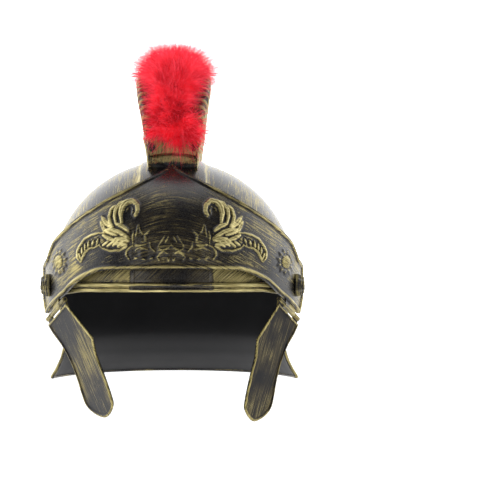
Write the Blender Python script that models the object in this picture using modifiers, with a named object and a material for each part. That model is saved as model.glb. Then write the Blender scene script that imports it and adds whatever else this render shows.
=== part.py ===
"""Roman legionary costume helmet: moulded shell, tilting visor, ribbed crest holder, plume and hinged cheek guards.

The front faces -Y, up is +Z and the wearer's left is +X. The origin is the inner apex of the dome.
Lengths below are millimetres and angles are degrees; they become metres where a mesh is made.
"""
import math

import bmesh
import bpy
import numpy as np
from mathutils import Matrix, Vector

MM = 0.001
GAP = 0.3

# Shell: half an ellipsoid with a wall below it, its rim rolled. Heights in the tables are over the equator
WALL = 2.0
DOME_A = 106.5
DOME_B = 120.0
DOME_C = 105.0
EQUATOR_Z = WALL - DOME_C
STRIP_RISE = 1.5
STRIP_TOP_HALF = 28.0
STRIP_BRIM_HALF = 32.0
STRIP_EDGE = 1.5
# Angles between the lines of the dome's flank from the strip to here, and between its rows over the top
FLANK_STEPS = 5
FLANK_ANGLE = 72.0
END_TURN = 9.0
TURN_STEPS = 9
# The rim at angles from the front, up to where the neck guard's side edge starts
EAR_ANGLE = 84
RIM = {"angle": (0, 45, 60, 70, EAR_ANGLE, 92, 96, 100.8), "height": (-6.6, -7.2, -10, -14, -15, -8, -7.5, -13)}
# How far the wall of the neck guard stands out beyond the dome, across and to the rear
NECK = {
    "height": (0, -27, -52, -69, -79, -88),
    "across": (0, -2.5, -6.0, -2.5, 2.0, 7.5),
    "rear": (0, -4.0, -8.0, 4.0, 16.0, 29.0),
}
# Angle of the neck guard's side edge
SIDE_EDGE = {"height": (-13, -27, -42, -88), "angle": (100.8, 102.5, 103.9, 104.2)}
GUARD_ROWS = (-13, -21, -31, -42, -52, -61, -69, -75, -81, -88)
ROLL_RADIUS = 1.7
RIDGE_RADIUS = 1.6
RIDGE_TOP = -25.0
RIDGE_LOW = -74.0
RIDGE_INSET = 7.5
RIDGE_LIFT = 0.1

# Visor: a band on an upright ellipse round the dome that closes in above its turn
VISOR_STAND_SIDE = 6.5
VISOR_STAND_FRONT = 10.0
VISOR_A = DOME_A + VISOR_STAND_SIDE
VISOR_B = DOME_B + VISOR_STAND_FRONT
VISOR_TURN_SHARE = 0.105
VISOR_CLOSE_SHARE = 0.933
VISOR_RIM = 3.5
VISOR_RIM_SLOPE = 0.8
VISOR_RIM_RISE = 1.2
RELIEF_RISE = 1.6
# Edges of the half visor from the middle to the temple as angles and shares of the dome's height,
# with the steps between two rows
VISOR_EDGE = {
    "top_angle": (0, 30, 50, 66, 71, 81),
    "top": (0.933, 0.705, 0.505, 0.319, 0.181, 0.114),
    "bottom_angle": (0, 29, 41, 52, 73, 79),
    "bottom": (0.105, 0.090, 0.024, -0.095, -0.276, -0.152),
    "steps": (5, 3, 2, 3, 0),
}
VISOR_END_SHARES = (0.4, 0.78, 0.82, 1.0)
VISOR_INNER_ROWS = 3

# Raised ornament on the visor: rosette lobes, and leaves from a foot to a tip as angles and shares of the
# dome's height, with half widths
ROSETTE_PLACE = (61.5, 0.105)
ROSETTE_RADII = (12.5, 9.5)
ROSETTE_LOBES = 7
LEAVES = (
    (22, 0.33, 27, 0.67, 4.5),
    (27, 0.45, 38, 0.63, 3.5),
    (29, 0.39, 44, 0.53, 3.5),
    (30, 0.33, 47, 0.43, 3.5),
    (30, 0.28, 49, 0.32, 3.5),
    (32, 0.20, 50, 0.22, 3.5),
    (24, 0.22, 40, 0.14, 3.5),
    (16, 0.53, 22, 0.66, 3.0),
    (18, 0.28, 27, 0.31, 3.5),
    (9, 0.21, 20, 0.21, 3.5),
    (13, 0.31, 15, 0.43, 3.5),
)
PALMETTE = (
    (-6.5, 0.28, 6.5, 0.28, 4.0),
    (-8.5, 0.18, -1, 0.28, 2.5),
    (8.5, 0.18, 1, 0.28, 2.5),
    (-5, 0.35, -1, 0.30, 2.0),
    (5, 0.35, 1, 0.30, 2.0),
    (-5, 0.15, 5, 0.15, 2.2),
)

# Temple screws, on which the visor tilts; places along X are for the wearer's left
PIVOT_Y = -45.0
PIVOT_DROP = 4.0
PIVOT_Z = EQUATOR_Z - PIVOT_DROP
HOLE_RADIUS = 2.8
SCREW_SIDES = 12
COLLAR_RADIUS = 10.0
COLLAR_RISE = 5.0
PAD_RADIUS = 5.5
SHELL_PAD_RISE = 1.9
# Turned outlines of a screw's head over the collar, and of its nut within the shell's inner face
SCREW_HEAD = {"radius": (0, 3.2, 5.0, 5.0, 2.4), "out": (3.2, 2.8, 1.4, GAP, GAP)}
SCREW_NUT = {"radius": (2.4, 4.5, 4.5, 2.4, 0), "within": (2.8, 2.8, 5.8, 6.4, 6.4)}

# Crest holder, at polar angles over the dome from the front; its height and half width swell towards the top
COMB_RIBS = 24
COMB_BASE_HALF = 20.5
MOULDING_RISE = 1.6
MOULDING_TOP = 6.0
SCROLL_TOP = 16.0
DENTIL_TOP = 23.0
DENTIL_RISE = 1.0
BANDS_HEIGHT = 36.0
RIB_DEPTH = 1.4
RIB_LEAN = 2.5
CROWN_RISE = 2.5
SHOULDER = 9.0
COMB = {
    "angle": (60.5, 64, 69.5, 76, 83.5, 90, 105, 120, 140, 155, 165),
    "height": (14, 28, 48, 62, 71, 75.5, 77, 73, 60, 44, 28),
    "half": (20.5, 22, 28.5, 32.5, 34, 34.2, 34, 30.5, 24, 21.8, 21),
}

# Plume, a strip of fur along the middle of the crest holder
PLUME_START = 63.0
PLUME_END = 163.0
PLUME_SECTIONS = 29
PLUME_LIFT = 1.2
LOCK_WAVE = 1.6
PLUME_TABLE = {"angle": (63, 67, 76, 90, 120, 150, 163), "rise": (13, 17, 20, 22, 22, 20, 14)}
# Outline of half a section: share of the crest holder's half width and share of the fur's height
PLUME = {"share": (0.0, 0.42, 0.68, 0.86, 0.84, 0.66), "above": (1.0, 0.97, 0.82, 0.55, 0.3, 0.0)}

# Hinges of the cheek guards: an angle and a share of the dome's height on the visor, how far the pin lies inside
# its face, and the pin's direction for the wearer's left
HINGE_ANGLE = 62.5
HINGE_SHARE = -0.2305
HINGE_INSET = 2.4
HINGE_DIRECTION = (0.351, 0.860, -0.368)
KNUCKLE_RADIUS = 2.3
PIN_RADIUS = 1.0
PIN_HOLE_RADIUS = 1.3
PIN_HALF = 26.0
EAR_OUT = 25.0
EAR_IN = 14.0
VISOR_KNUCKLE_HALF = 13.0
VISOR_WEB_UP = 9.0
WEB_OFFSET = -0.8
WEB_STEP = 0.5
REST_SWING = {"left": 9.0, "right": 17.0}

# Cheek guard outline in its own plane: across towards the rear, down from the hinge
GUARD_THICK = 2.0
GUARD_RIM = 3.0
GUARD_RIM_SLOPE = 0.7
GUARD_RIM_RISE = 1.0
GUARD = {
    "across": (-25, -48, -41, -39, -35, -29, -8, 10, 20, 19, 15, 14, 17, 24, 27),
    "down": (4, 44, 56, 72, 92, 101, 103, 94, 83, 72, 58, 43, 28, 14, 4),
}
GUARD_TOP = 4.0

COLOURS = {
    "antique_gold": ((0.16, 0.13, 0.06, 1.0), 0.38, 0.6),
    "steel": ((0.62, 0.62, 0.60, 1.0), 0.28, 1.0),
    "red_fur": ((0.72, 0.02, 0.04, 1.0), 0.9, 0.0),
}


def lerp(a, b, share):
    return a + (b - a) * share


def smooth(value, table, key, column):
    """A column of a table at a value between its rows."""
    keys = table[key]
    order = 1 if keys[-1] > keys[0] else -1
    return float(np.interp(order * value, [order * k for k in keys], table[column]))


# Surfaces
def dome_point(x, turn, rise=0.0):
    """A point of the dome at x, turned over from the front brow to the rear."""
    across = math.sqrt(max(0.0, 1 - (x / DOME_A) ** 2))
    turned = math.radians(turn)
    y = -(DOME_B + rise) * across * math.cos(turned)
    return (x, y, EQUATOR_Z + (DOME_C + rise) * across * math.sin(turned))


def wall_point(angle, height, strip=0.0, rise=0.0):
    """A point of the wall below the dome; only its rear half flares."""
    across, deep = DOME_A, DOME_B
    if abs(angle) > 90:
        across += smooth(height, NECK, "height", "across")
        deep += smooth(height, NECK, "height", "rear")
    turned = math.radians(angle)
    x = (across + rise) * math.sin(turned)
    return (x, -(deep + strip + rise) * math.cos(turned), EQUATOR_Z + height)


def rim_height(angle):
    """Height of the rim at an angle from 0 at the front to 360."""
    return smooth(min(angle % 360, 360 - angle % 360), RIM, "angle", "height")


def side_edge(height):
    return smooth(height, SIDE_EDGE, "height", "angle")


def guard_angle(angle, height):
    """Angle at a height of a line of the neck guard that starts at an angle under the ear."""
    first = SIDE_EDGE["angle"][0]
    return 180 + (angle - 180) * (180 - side_edge(height)) / (180 - first)


def visor_tilt(share):
    return max(0.0, (share - VISOR_TURN_SHARE) / VISOR_CLOSE_SHARE)


def visor_point(angle, share, rise=0.0):
    """A point of the visor's outer face at an angle from the front and a share of the dome's height."""
    turned = math.radians(angle)
    tilt = visor_tilt(share)
    level = math.sqrt(1 - tilt**2)
    x = (VISOR_A + rise) * level * math.sin(turned)
    y = -(VISOR_B + rise) * level * math.cos(turned)
    return (x, y, EQUATOR_Z + share * DOME_C + rise * tilt)


def pivot_reach(half_x, half_y):
    """Half width at the pivot of an upright ellipse."""
    return half_x * math.sqrt(1 - (PIVOT_Y / half_y) ** 2)


# Mesh helpers
def material(name):
    found = bpy.data.materials.get(name)
    if found:
        return found
    colour, roughness, metallic = COLOURS[name]
    made = bpy.data.materials.new(name)
    made.use_nodes = True
    shader = made.node_tree.nodes["Principled BSDF"]
    shader.inputs["Base Color"].default_value = colour
    shader.inputs["Roughness"].default_value = roughness
    shader.inputs["Metallic"].default_value = metallic
    made.diffuse_color = colour
    return made


def new_collection(name):
    made = bpy.data.collections.new(name)
    bpy.context.scene.collection.children.link(made)
    return made


def add_object(name, points, faces, group, finish=None):
    """A mesh object from points in millimetres, with doubled points welded."""
    mesh = bpy.data.meshes.new(name)
    mesh.from_pydata([tuple(v * MM for v in p) for p in points], [], faces)
    work = bmesh.new()
    work.from_mesh(mesh)
    bmesh.ops.remove_doubles(work, verts=work.verts, dist=1e-5)
    work.to_mesh(mesh)
    work.free()
    made = bpy.data.objects.new(name, mesh)
    group.objects.link(made)
    if finish:
        dress(made, finish)
    else:
        hide_tool(made)
    return made


def dress(item, finish):
    item.data.materials.clear()
    item.data.materials.append(material(finish))
    item.data.shade_smooth()
    item.data.set_sharp_from_angle(angle=math.radians(35))


def hide_tool(item):
    item.hide_render = True
    item.display_type = "WIRE"


def grid_faces(rows, columns, start=0, around=False, flip=False):
    """Quads between neighbouring rows of points, closed round each row if asked."""
    faces = []
    for row in range(rows - 1):
        for column in range(columns if around else columns - 1):
            right = (column + 1) % columns
            low = start + row * columns
            high = low + columns
            face = (low + column, low + right, high + right, high + column)
            faces.append(face[::-1] if flip else face)
    return faces


def solidify(item, thickness):
    wall = item.modifiers.new("wall", "SOLIDIFY")
    wall.thickness = thickness * MM
    wall.offset = -1
    wall.use_even_offset = True


def combine(item, other, operation):
    change = item.modifiers.new(other.name, "BOOLEAN")
    change.operation = operation
    change.object = other
    change.solver = "EXACT"


def axis_matrix(middle, direction, up=(0, 0, 1)):
    """A frame at a place with its Z along a direction and its Y as near to up as it can be."""
    along = Vector(direction).normalized()
    side = Vector(up).cross(along).normalized()
    lift = along.cross(side)
    turn = Matrix((side, lift, along)).transposed().to_4x4()
    return Matrix.Translation(Vector(middle) * MM) @ turn


def cylinder(name, radius, low, high, frame, group, sides=16):
    """A round bar along a frame's Z between two places on it."""
    work = bmesh.new()
    bmesh.ops.create_cone(
        work, cap_ends=True, segments=sides, radius1=radius * MM, radius2=radius * MM, depth=(high - low) * MM
    )
    bmesh.ops.translate(work, verts=work.verts, vec=(0, 0, (low + high) / 2 * MM))
    return finish_tool(name, work, frame, group)


def block(name, lows, highs, frame, group):
    """A box between two corners in a frame."""
    work = bmesh.new()
    bmesh.ops.create_cube(work, size=1.0)
    for vert in work.verts:
        vert.co = [lerp(lo, hi, v + 0.5) * MM for lo, hi, v in zip(lows, highs, vert.co)]
    return finish_tool(name, work, frame, group)


def finish_tool(name, work, frame, group):
    mesh = bpy.data.meshes.new(name)
    work.to_mesh(mesh)
    work.free()
    made = bpy.data.objects.new(name, mesh)
    made.matrix_world = frame
    group.objects.link(made)
    hide_tool(made)
    return made


def tube(name, points, radius, group, closed=False):
    """A round bar along points, as a mesh that a Boolean can use."""
    curve = bpy.data.curves.new(name, "CURVE")
    curve.dimensions = "3D"
    curve.bevel_depth = radius * MM
    curve.bevel_resolution = 1
    curve.use_fill_caps = not closed
    line = curve.splines.new("POLY")
    line.points.add(len(points) - 1)
    for spot, point in zip(line.points, points):
        spot.co = (*[v * MM for v in point], 1)
    line.use_cyclic_u = closed
    drawn = bpy.data.objects.new(name + "_line", curve)
    group.objects.link(drawn)
    bpy.context.view_layer.update()
    ready = drawn.evaluated_get(bpy.context.evaluated_depsgraph_get())
    mesh = bpy.data.meshes.new_from_object(ready)
    bpy.data.objects.remove(drawn)
    work = bmesh.new()
    work.from_mesh(mesh)
    bmesh.ops.remove_doubles(work, verts=work.verts, dist=1e-5)
    work.to_mesh(mesh)
    work.free()
    made = bpy.data.objects.new(name, mesh)
    group.objects.link(made)
    hide_tool(made)
    return made


def move_origin(item, place):
    """Put an object's origin at a place without moving its mesh."""
    shift = Vector(place) * MM
    item.data.transform(Matrix.Translation(-shift))
    item.location = shift


# Shell
def dome_columns(turn):
    """Places across the dome with whether they are on the raised strip."""
    half = lerp(STRIP_BRIM_HALF, STRIP_TOP_HALF, math.sin(math.radians(turn)))
    start = math.degrees(math.asin(half / DOME_A))
    flank = [lerp(start, FLANK_ANGLE, step / FLANK_STEPS) for step in range(1, FLANK_STEPS + 1)]
    flank += [180 - RIM["angle"][-1], 90.0]
    right = [(0.0, 1), (0.5 * half, 1), (half - STRIP_EDGE, 1), (half, 0)]
    right += [(DOME_A * math.sin(math.radians(angle)), 0) for angle in flank]
    return [(-x, raised) for x, raised in right[:0:-1]] + right


def ring_columns():
    """Angles round the equator that meet the dome's edge, with whether each is on the strip."""
    front = [(math.degrees(math.asin(max(-1, min(1, x / DOME_A)))), raised) for x, raised in dome_columns(0)]
    rear = [(180 - angle, raised) for angle, raised in front[-2:0:-1]]
    return front + rear


def shell_sheet(group):
    """Outer face of the dome, of the wall to its rim and of the neck guard."""
    first, last = 2 * END_TURN, 180 - 2 * END_TURN
    turns = [0, END_TURN] + [lerp(first, last, step / TURN_STEPS) for step in range(TURN_STEPS + 1)]
    turns += [180 - END_TURN, 180]
    points = [dome_point(x, turn, STRIP_RISE * raised) for turn in turns for x, raised in dome_columns(turn)]
    faces = grid_faces(len(turns), len(dome_columns(0)))
    ring = ring_columns()
    shares = (0.0, 0.5, 1.0)
    start = len(points)
    for share in shares:
        for angle, raised in ring:
            points.append(wall_point(angle, share * rim_height(angle), STRIP_RISE * raised))
    faces += grid_faces(len(shares), len(ring), start, True, True)
    first = RIM["angle"][-1]
    guard = [(angle, raised) for angle, raised in ring if first - 0.1 <= angle <= 360.1 - first]
    start = len(points)
    for height in GUARD_ROWS:
        fade = 1.0 if height == GUARD_ROWS[0] else 0.0
        for angle, raised in guard:
            points.append(wall_point(guard_angle(angle, height), height, STRIP_RISE * raised * fade))
    faces += grid_faces(len(GUARD_ROWS), len(guard), start, False, True)
    return add_object("shell", points, faces, group, "antique_gold")


def rim_path():
    """Middle of the rim's edge, from the front right round the neck guard and back."""
    middle = -WALL / 2
    ear = RIM["angle"].index(EAR_ANGLE)
    front = list(np.linspace(0, RIM["angle"][ear], 11)) + list(RIM["angle"][ear + 1:-1])
    half = [wall_point(angle, rim_height(angle), 0, middle) for angle in front]
    half += [wall_point(side_edge(height), height, 0, middle) for height in GUARD_ROWS]
    low = GUARD_ROWS[-1]
    half += [wall_point(lerp(side_edge(low), 180, step / 9), low, 0, middle) for step in range(1, 10)]
    return half + [(-x, y, z) for x, y, z in half[-2:0:-1]]


def ridge_path():
    """Line of the raised ridge inside the neck guard's edges."""
    heights = list(np.linspace(RIDGE_TOP, RIDGE_LOW, 5))
    half = [wall_point(side_edge(height) + RIDGE_INSET, height, 0, RIDGE_LIFT) for height in heights]
    start = side_edge(RIDGE_LOW) + RIDGE_INSET
    half += [wall_point(lerp(start, 180, step / 6), RIDGE_LOW, 0, RIDGE_LIFT) for step in range(1, 7)]
    return half + [(-x, y, z) for x, y, z in half[-2::-1]]


def post(name, side, radius, sides, flat_x, half_x, half_y, group):
    """A round plug on the pivot axis, flat at one place and ending in the middle of an elliptic wall."""
    points = []
    for end in (0, 1):
        ring = [(0.0, 0.0)]
        for step in range(sides):
            turned = 2 * math.pi * (step + 0.5) / sides
            ring.append((radius * math.cos(turned), radius * math.sin(turned)))
        for across, up in ring:
            y = PIVOT_Y + across
            wall_x = half_x * math.sqrt(1 - (y / half_y) ** 2)
            points.append((side * (flat_x if end else wall_x), y, PIVOT_Z + up))
    count = sides + 1
    faces = []
    for step in range(sides):
        a = 1 + step
        b = 1 + (step + 1) % sides
        faces += [(0, b, a), (count, count + a, count + b), (a, b, count + b, count + a)]
    outward = (side > 0) == (flat_x > pivot_reach(half_x, half_y))
    if not outward:
        faces = [face[::-1] for face in faces]
    return add_object(name, points, faces, group)


def shell_pad_x():
    return pivot_reach(DOME_A, DOME_B) + SHELL_PAD_RISE


def make_shell(parts, tools):
    shell = shell_sheet(parts)
    solidify(shell, WALL)
    combine(shell, tube("rim_roll", rim_path(), ROLL_RADIUS, tools, True), "UNION")
    combine(shell, tube("guard_ridge", ridge_path(), RIDGE_RADIUS, tools), "UNION")
    for side, word in ((1, "left"), (-1, "right")):
        middle = (DOME_A - WALL / 2, DOME_B - WALL / 2)
        combine(shell, post("shell_pad_" + word, side, PAD_RADIUS, 12, shell_pad_x(), *middle, tools), "UNION")
    combine(shell, screw_hole("shell_hole", tools), "DIFFERENCE")
    return shell


def screw_hole(name, tools):
    frame = axis_matrix((0, PIVOT_Y, PIVOT_Z), (1, 0, 0))
    reach = VISOR_A + COLLAR_RISE
    return cylinder(name, HOLE_RADIUS, -reach, reach, frame, tools, 12)


# Visor
def visor_columns():
    """Top and bottom points of each line across the half visor, from the middle to the temple."""
    columns = []
    table = VISOR_EDGE
    for row, steps in enumerate(table["steps"]):
        shares = VISOR_END_SHARES if steps == 0 else [step / steps for step in range(steps)]
        if steps == 0:
            shares = (0.0, *shares)
        for share in shares:
            top = [lerp(table[k][row], table[k][row + 1], share) for k in ("top_angle", "top")]
            low = [lerp(table[k][row], table[k][row + 1], share) for k in ("bottom_angle", "bottom")]
            columns.append((top, low))
    return columns


def visor_shares(top, low):
    """Places down a line of the visor with whether each is on the raised rim."""
    a = np.array(visor_point(*top))
    b = np.array(visor_point(*low))
    length = float(np.linalg.norm(a - b)) * 1.06
    rim = 1.25 * VISOR_RIM / length
    foot = rim + VISOR_RIM_SLOPE / length
    inner = [lerp(foot, 1 - foot, step / VISOR_INNER_ROWS) for step in range(VISOR_INNER_ROWS + 1)]
    return [(0.0, 1), (rim, 1)] + [(share, 0) for share in inner] + [(1 - rim, 1), (1.0, 1)]


def visor_sheet(group):
    half = visor_columns()
    columns = [([-t[0], t[1]], [-l[0], l[1]]) for t, l in half[:0:-1]] + half
    ends = 2
    grid = []
    for place, (top, low) in enumerate(columns):
        at_end = place < ends or place >= len(columns) - ends
        line = []
        for share, raised in visor_shares(top, low):
            rise = VISOR_RIM_RISE if raised or at_end else 0.0
            line.append(visor_point(lerp(top[0], low[0], share), lerp(top[1], low[1], share), rise))
        grid.append(line)
    rows = len(grid[0])
    points = [grid[column][row] for row in range(rows) for column in range(len(grid))]
    return add_object("visor", points, grid_faces(rows, len(grid), 0, False, True), group, "antique_gold")


def hinge_frame(side, swing=0.0):
    """Frame of a hinge: X along the pin, Y inwards through the guard, Z up in the guard's plane."""
    x, y, z = visor_point(HINGE_ANGLE, HINGE_SHARE, -HINGE_INSET)
    along = Vector((side * HINGE_DIRECTION[0], HINGE_DIRECTION[1], HINGE_DIRECTION[2])).normalized()
    up = (Vector((0, 0, 1)) - along * along.z).normalized()
    inward = side * up.cross(along)
    angle = math.radians(swing)
    lift = up * math.cos(angle) - inward * math.sin(angle)
    through = inward * math.cos(angle) + up * math.sin(angle)
    turn = Matrix((side * along, through, lift)).transposed().to_4x4()
    return Matrix.Translation(Vector((side * x, y, z)) * MM) @ turn


def bar_frame(frame):
    """The same frame with its Z along the pin."""
    return frame @ Matrix.Rotation(math.radians(90), 4, "Y")


def petal(start, end, half, side, rise=RELIEF_RISE):
    """A raised leaf on the visor between two places given by angle and share, as points and faces."""
    steps = 4
    middle = (start[1] + end[1]) / 2
    degree = math.radians(1) * VISOR_B * math.sqrt(1 - visor_tilt(middle) ** 2)
    along = np.array([(end[0] - start[0]) * degree, (end[1] - start[1]) * DOME_C])
    across = np.array([-along[1], along[0]]) / np.linalg.norm(along)
    rings = []
    for lift, spread in ((-WALL / 2, 1.0), (0.45 * rise, 1.0), (rise, 0.35)):
        ring = []
        for step in range(2 * steps):
            share = step / steps if step <= steps else 2 - step / steps
            width = half * math.sin(math.pi * share) ** 0.75 * spread * (1 if step < steps else -1)
            share = lerp(0.5, share, lerp(1.0, spread, 0.5))
            flat = along * share + across * width
            ring.append(visor_point(side * (start[0] + flat[0] / degree), start[1] + flat[1] / DOME_C, lift))
        rings.append(ring)
    return closed_stack(rings, side > 0)


def rosette(centre, radius_x, radius_z, side, lobes, rise=RELIEF_RISE):
    """A raised lobed boss on the visor."""
    degree = math.radians(1) * VISOR_B * math.sqrt(1 - visor_tilt(centre[1]) ** 2)
    count = 2 * lobes
    rings = []
    for lift, spread in ((-WALL / 2, 1.0), (0.6 * rise, 1.0), (rise, 0.6)):
        ring = []
        for step in range(count):
            turned = 2 * math.pi * step / count
            wave = 0.86 if step % 2 else 1.0
            x = radius_x * spread * wave * math.cos(turned)
            z = radius_z * spread * wave * math.sin(turned)
            ring.append(visor_point(side * (centre[0] + x / degree), centre[1] + z / DOME_C, lift))
        rings.append(ring)
    return closed_stack(rings, side < 0)


def closed_stack(rings, flip):
    """Rings one over another joined into a closed body, each end filled."""
    count = len(rings[0])
    points = [p for ring in rings for p in ring]
    faces = grid_faces(len(rings), count, 0, True, flip)
    low = tuple(range(count))
    high = tuple(range(len(points) - count, len(points)))
    faces += [low, high[::-1]] if flip else [low[::-1], high]
    return points, faces


def relief_pieces():
    """Raised ornament: rosettes, leaves and scrolls on each side and a palmette in the middle."""
    pieces = []
    for side in (1, -1):
        pieces.append(rosette(ROSETTE_PLACE, *ROSETTE_RADII, side, ROSETTE_LOBES))
        for foot_angle, foot, tip_angle, tip, half in LEAVES:
            pieces.append(petal((foot_angle, foot), (tip_angle, tip), half, side))
    for foot_angle, foot, tip_angle, tip, half in PALMETTE:
        pieces.append(petal((foot_angle, foot), (tip_angle, tip), half, 1))
    return pieces


def make_relief(group):
    points, faces = [], []
    for piece_points, piece_faces in relief_pieces():
        start = len(points)
        points += piece_points
        faces += [tuple(start + v for v in face) for face in piece_faces]
    return add_object("relief", points, faces, group)


def collar_x():
    return pivot_reach(VISOR_A, VISOR_B) + COLLAR_RISE


def make_visor(parts, tools):
    visor = visor_sheet(parts)
    solidify(visor, WALL)
    relief = make_relief(tools)
    combine(visor, relief, "UNION")
    visor.modifiers["relief"].use_self = True
    middle = (VISOR_A - WALL / 2, VISOR_B - WALL / 2)
    pad_x = shell_pad_x() + GAP
    for side, word in ((1, "left"), (-1, "right")):
        combine(visor, post("collar_" + word, side, COLLAR_RADIUS, 8, collar_x(), *middle, tools), "UNION")
        combine(visor, post("visor_pad_" + word, side, PAD_RADIUS, 12, pad_x, *middle, tools), "UNION")
        frame = hinge_frame(side)
        half = VISOR_KNUCKLE_HALF
        end = half - WEB_STEP
        web = ((-end, WEB_OFFSET - WALL / 2, 0), (end, WEB_OFFSET + WALL / 2, VISOR_WEB_UP))
        combine(visor, block("visor_web_" + word, *web, frame, tools), "UNION")
        bar = bar_frame(frame)
        combine(visor, cylinder("visor_knuckle_" + word, KNUCKLE_RADIUS, -half, half, bar, tools), "UNION")
        hole = cylinder("visor_pin_hole_" + word, PIN_HOLE_RADIUS, -half - 1, half + 1, bar, tools, 12)
        combine(visor, hole, "DIFFERENCE")
    combine(visor, screw_hole("visor_hole", tools), "DIFFERENCE")
    move_origin(visor, (0, PIVOT_Y, PIVOT_Z))
    return visor


def make_screw(side, word, parts):
    """A screw turned about the pivot axis, with its nut."""
    inner_x = pivot_reach(DOME_A - WALL, DOME_B - WALL)
    points = [(radius, 0, collar_x() + out) for radius, out in zip(SCREW_HEAD["radius"], SCREW_HEAD["out"])]
    points += [(radius, 0, inner_x - within) for radius, within in zip(SCREW_NUT["radius"], SCREW_NUT["within"])]
    mesh = bpy.data.meshes.new("pivot_screw_" + word)
    edges = [(i, i + 1) for i in range(len(points) - 1)]
    mesh.from_pydata([tuple(v * MM for v in p) for p in points], edges, [])
    screw = bpy.data.objects.new("pivot_screw_" + word, mesh)
    parts.objects.link(screw)
    turn = screw.modifiers.new("turn", "SCREW")
    turn.steps = SCREW_SIDES
    turn.render_steps = SCREW_SIDES
    turn.use_merge_vertices = True
    turn.merge_threshold = 1e-5
    screw.data.materials.append(material("steel"))
    screw.matrix_world = axis_matrix((0, PIVOT_Y, PIVOT_Z), (side, 0, 0))
    return screw


# Crest holder
def dome_radius(turn):
    """Distance of the dome from its middle at a polar angle from the front."""
    turned = math.radians(turn)
    return 1 / math.hypot(math.cos(turned) / DOME_B, math.sin(turned) / DOME_C)


def comb_base(x, turn):
    return math.sqrt(1 - (x / DOME_A) ** 2) * (dome_radius(turn) + STRIP_RISE) + GAP


def comb_height(turn):
    return smooth(turn, COMB, "angle", "height")


def comb_half(turn, above):
    """Half width of the crest holder at a height over its base."""
    return lerp(COMB_BASE_HALF, smooth(turn, COMB, "angle", "half"), above / comb_height(turn))


def polar_point(x, turn, radius):
    turned = math.radians(turn)
    return (x, -radius * math.cos(turned), EQUATOR_Z + radius * math.sin(turned))


def comb_outside(turn):
    """Half outline from the middle of the top down the side: x, height and its share of the fluting."""
    height = comb_height(turn)
    half = comb_half(turn, height)
    size = min(1.0, height / BANDS_HEIGHT)
    shoulder = SHOULDER * size
    side = height - shoulder
    return (
        (0.0, height + CROWN_RISE, 0.0, 0.0),
        (0.5 * half, height + 0.7 * CROWN_RISE, 0.0, 1.0),
        (half - 0.55 * shoulder, height, 0.4, 0.9),
        (half - 0.12 * shoulder, height - 0.4 * shoulder, 0.9, 0.4),
        (comb_half(turn, side), side, 1.0, 0.0),
        (comb_half(turn, DENTIL_TOP * size) - 0.4, DENTIL_TOP * size + 1, 1.0, 0.0),
        (comb_half(turn, DENTIL_TOP * size) + DENTIL_RISE, DENTIL_TOP * size, 0.6, 0.0),
        (comb_half(turn, SCROLL_TOP * size) + DENTIL_RISE, SCROLL_TOP * size, 0.0, 0.0),
        (COMB_BASE_HALF + 0.3, MOULDING_TOP * size, 0.0, 0.0),
        (COMB_BASE_HALF + MOULDING_RISE, (MOULDING_TOP - 1) * size, 0.0, 0.0),
        (COMB_BASE_HALF + MOULDING_RISE, 0.0, 0.0, 0.0),
    )


def comb_section(turn, groove):
    """Closed outline of the crest holder at one angle, its side fluted and leaning back towards the top."""
    height = comb_height(turn)
    edge = comb_base(COMB_BASE_HALF, turn)
    right = []
    for x, above, across, upwards in comb_outside(turn):
        lean = RIB_LEAN * min(1.0, above / height) ** 2
        depth = groove * RIB_DEPTH * min(1.0, height / BANDS_HEIGHT)
        right.append((x - across * depth, turn + lean, edge + above - upwards * depth))
    middle = COMB_BASE_HALF / 2
    bottom = [(middle, turn, comb_base(middle, turn)), (0.0, turn, comb_base(0.0, turn))]
    bottom.append((-middle, turn, comb_base(middle, turn)))
    left = [(-x, t, r) for x, t, r in right[:0:-1]]
    return [polar_point(x, t, r) for x, t, r in right + bottom + left]


def make_comb(parts):
    count = 2 * COMB_RIBS
    first = COMB["angle"][0]
    last = COMB["angle"][-1]
    rings = [comb_section(lerp(first, last, step / count), step % 2) for step in range(count + 1)]
    points, faces = closed_stack(rings, False)
    return add_object("crest_holder", points, faces, parts, "antique_gold")


# Plume
def crown_radius(x, turn):
    """Distance of the crest holder's top from the dome's middle, just over the flutes."""
    height = comb_height(turn)
    half = comb_half(turn, height)
    return comb_base(COMB_BASE_HALF, turn) + height + CROWN_RISE * (1 - 1.2 * (x / half) ** 2)


def make_plume(parts):
    """One body of fur in waved locks on the crest holder's top."""
    rings = []
    for place in range(PLUME_SECTIONS):
        turn = lerp(PLUME_START, PLUME_END, place / (PLUME_SECTIONS - 1))
        wave = LOCK_WAVE if place % 2 else -LOCK_WAVE
        half = comb_half(turn, comb_height(turn))
        rise = smooth(turn, PLUME_TABLE, "angle", "rise")
        right = []
        for step, (share, above) in enumerate(zip(PLUME["share"], PLUME["above"])):
            inner = 0 < step < len(PLUME["share"]) - 1
            x = share * half + (0.5 * wave if inner and above < 0.9 else 0.0)
            shift = wave * (1 if step % 2 else -0.6) * (0.9 if inner and above > 0.4 else 0.0)
            right.append((x, crown_radius(share * half, turn) + PLUME_LIFT + rise * above + shift))
        middle = [(0.3 * half, crown_radius(0.3 * half, turn) + PLUME_LIFT), (0.0, crown_radius(0, turn) + PLUME_LIFT)]
        loop = right + middle + [(-x, r) for x, r in middle[:1]] + [(-x, r) for x, r in right[:0:-1]]
        rings.append([polar_point(x, turn + RIB_LEAN, r) for x, r in loop])
    points, faces = closed_stack(rings, False)
    return add_object("plume", points, faces, parts, "red_fur")


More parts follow.
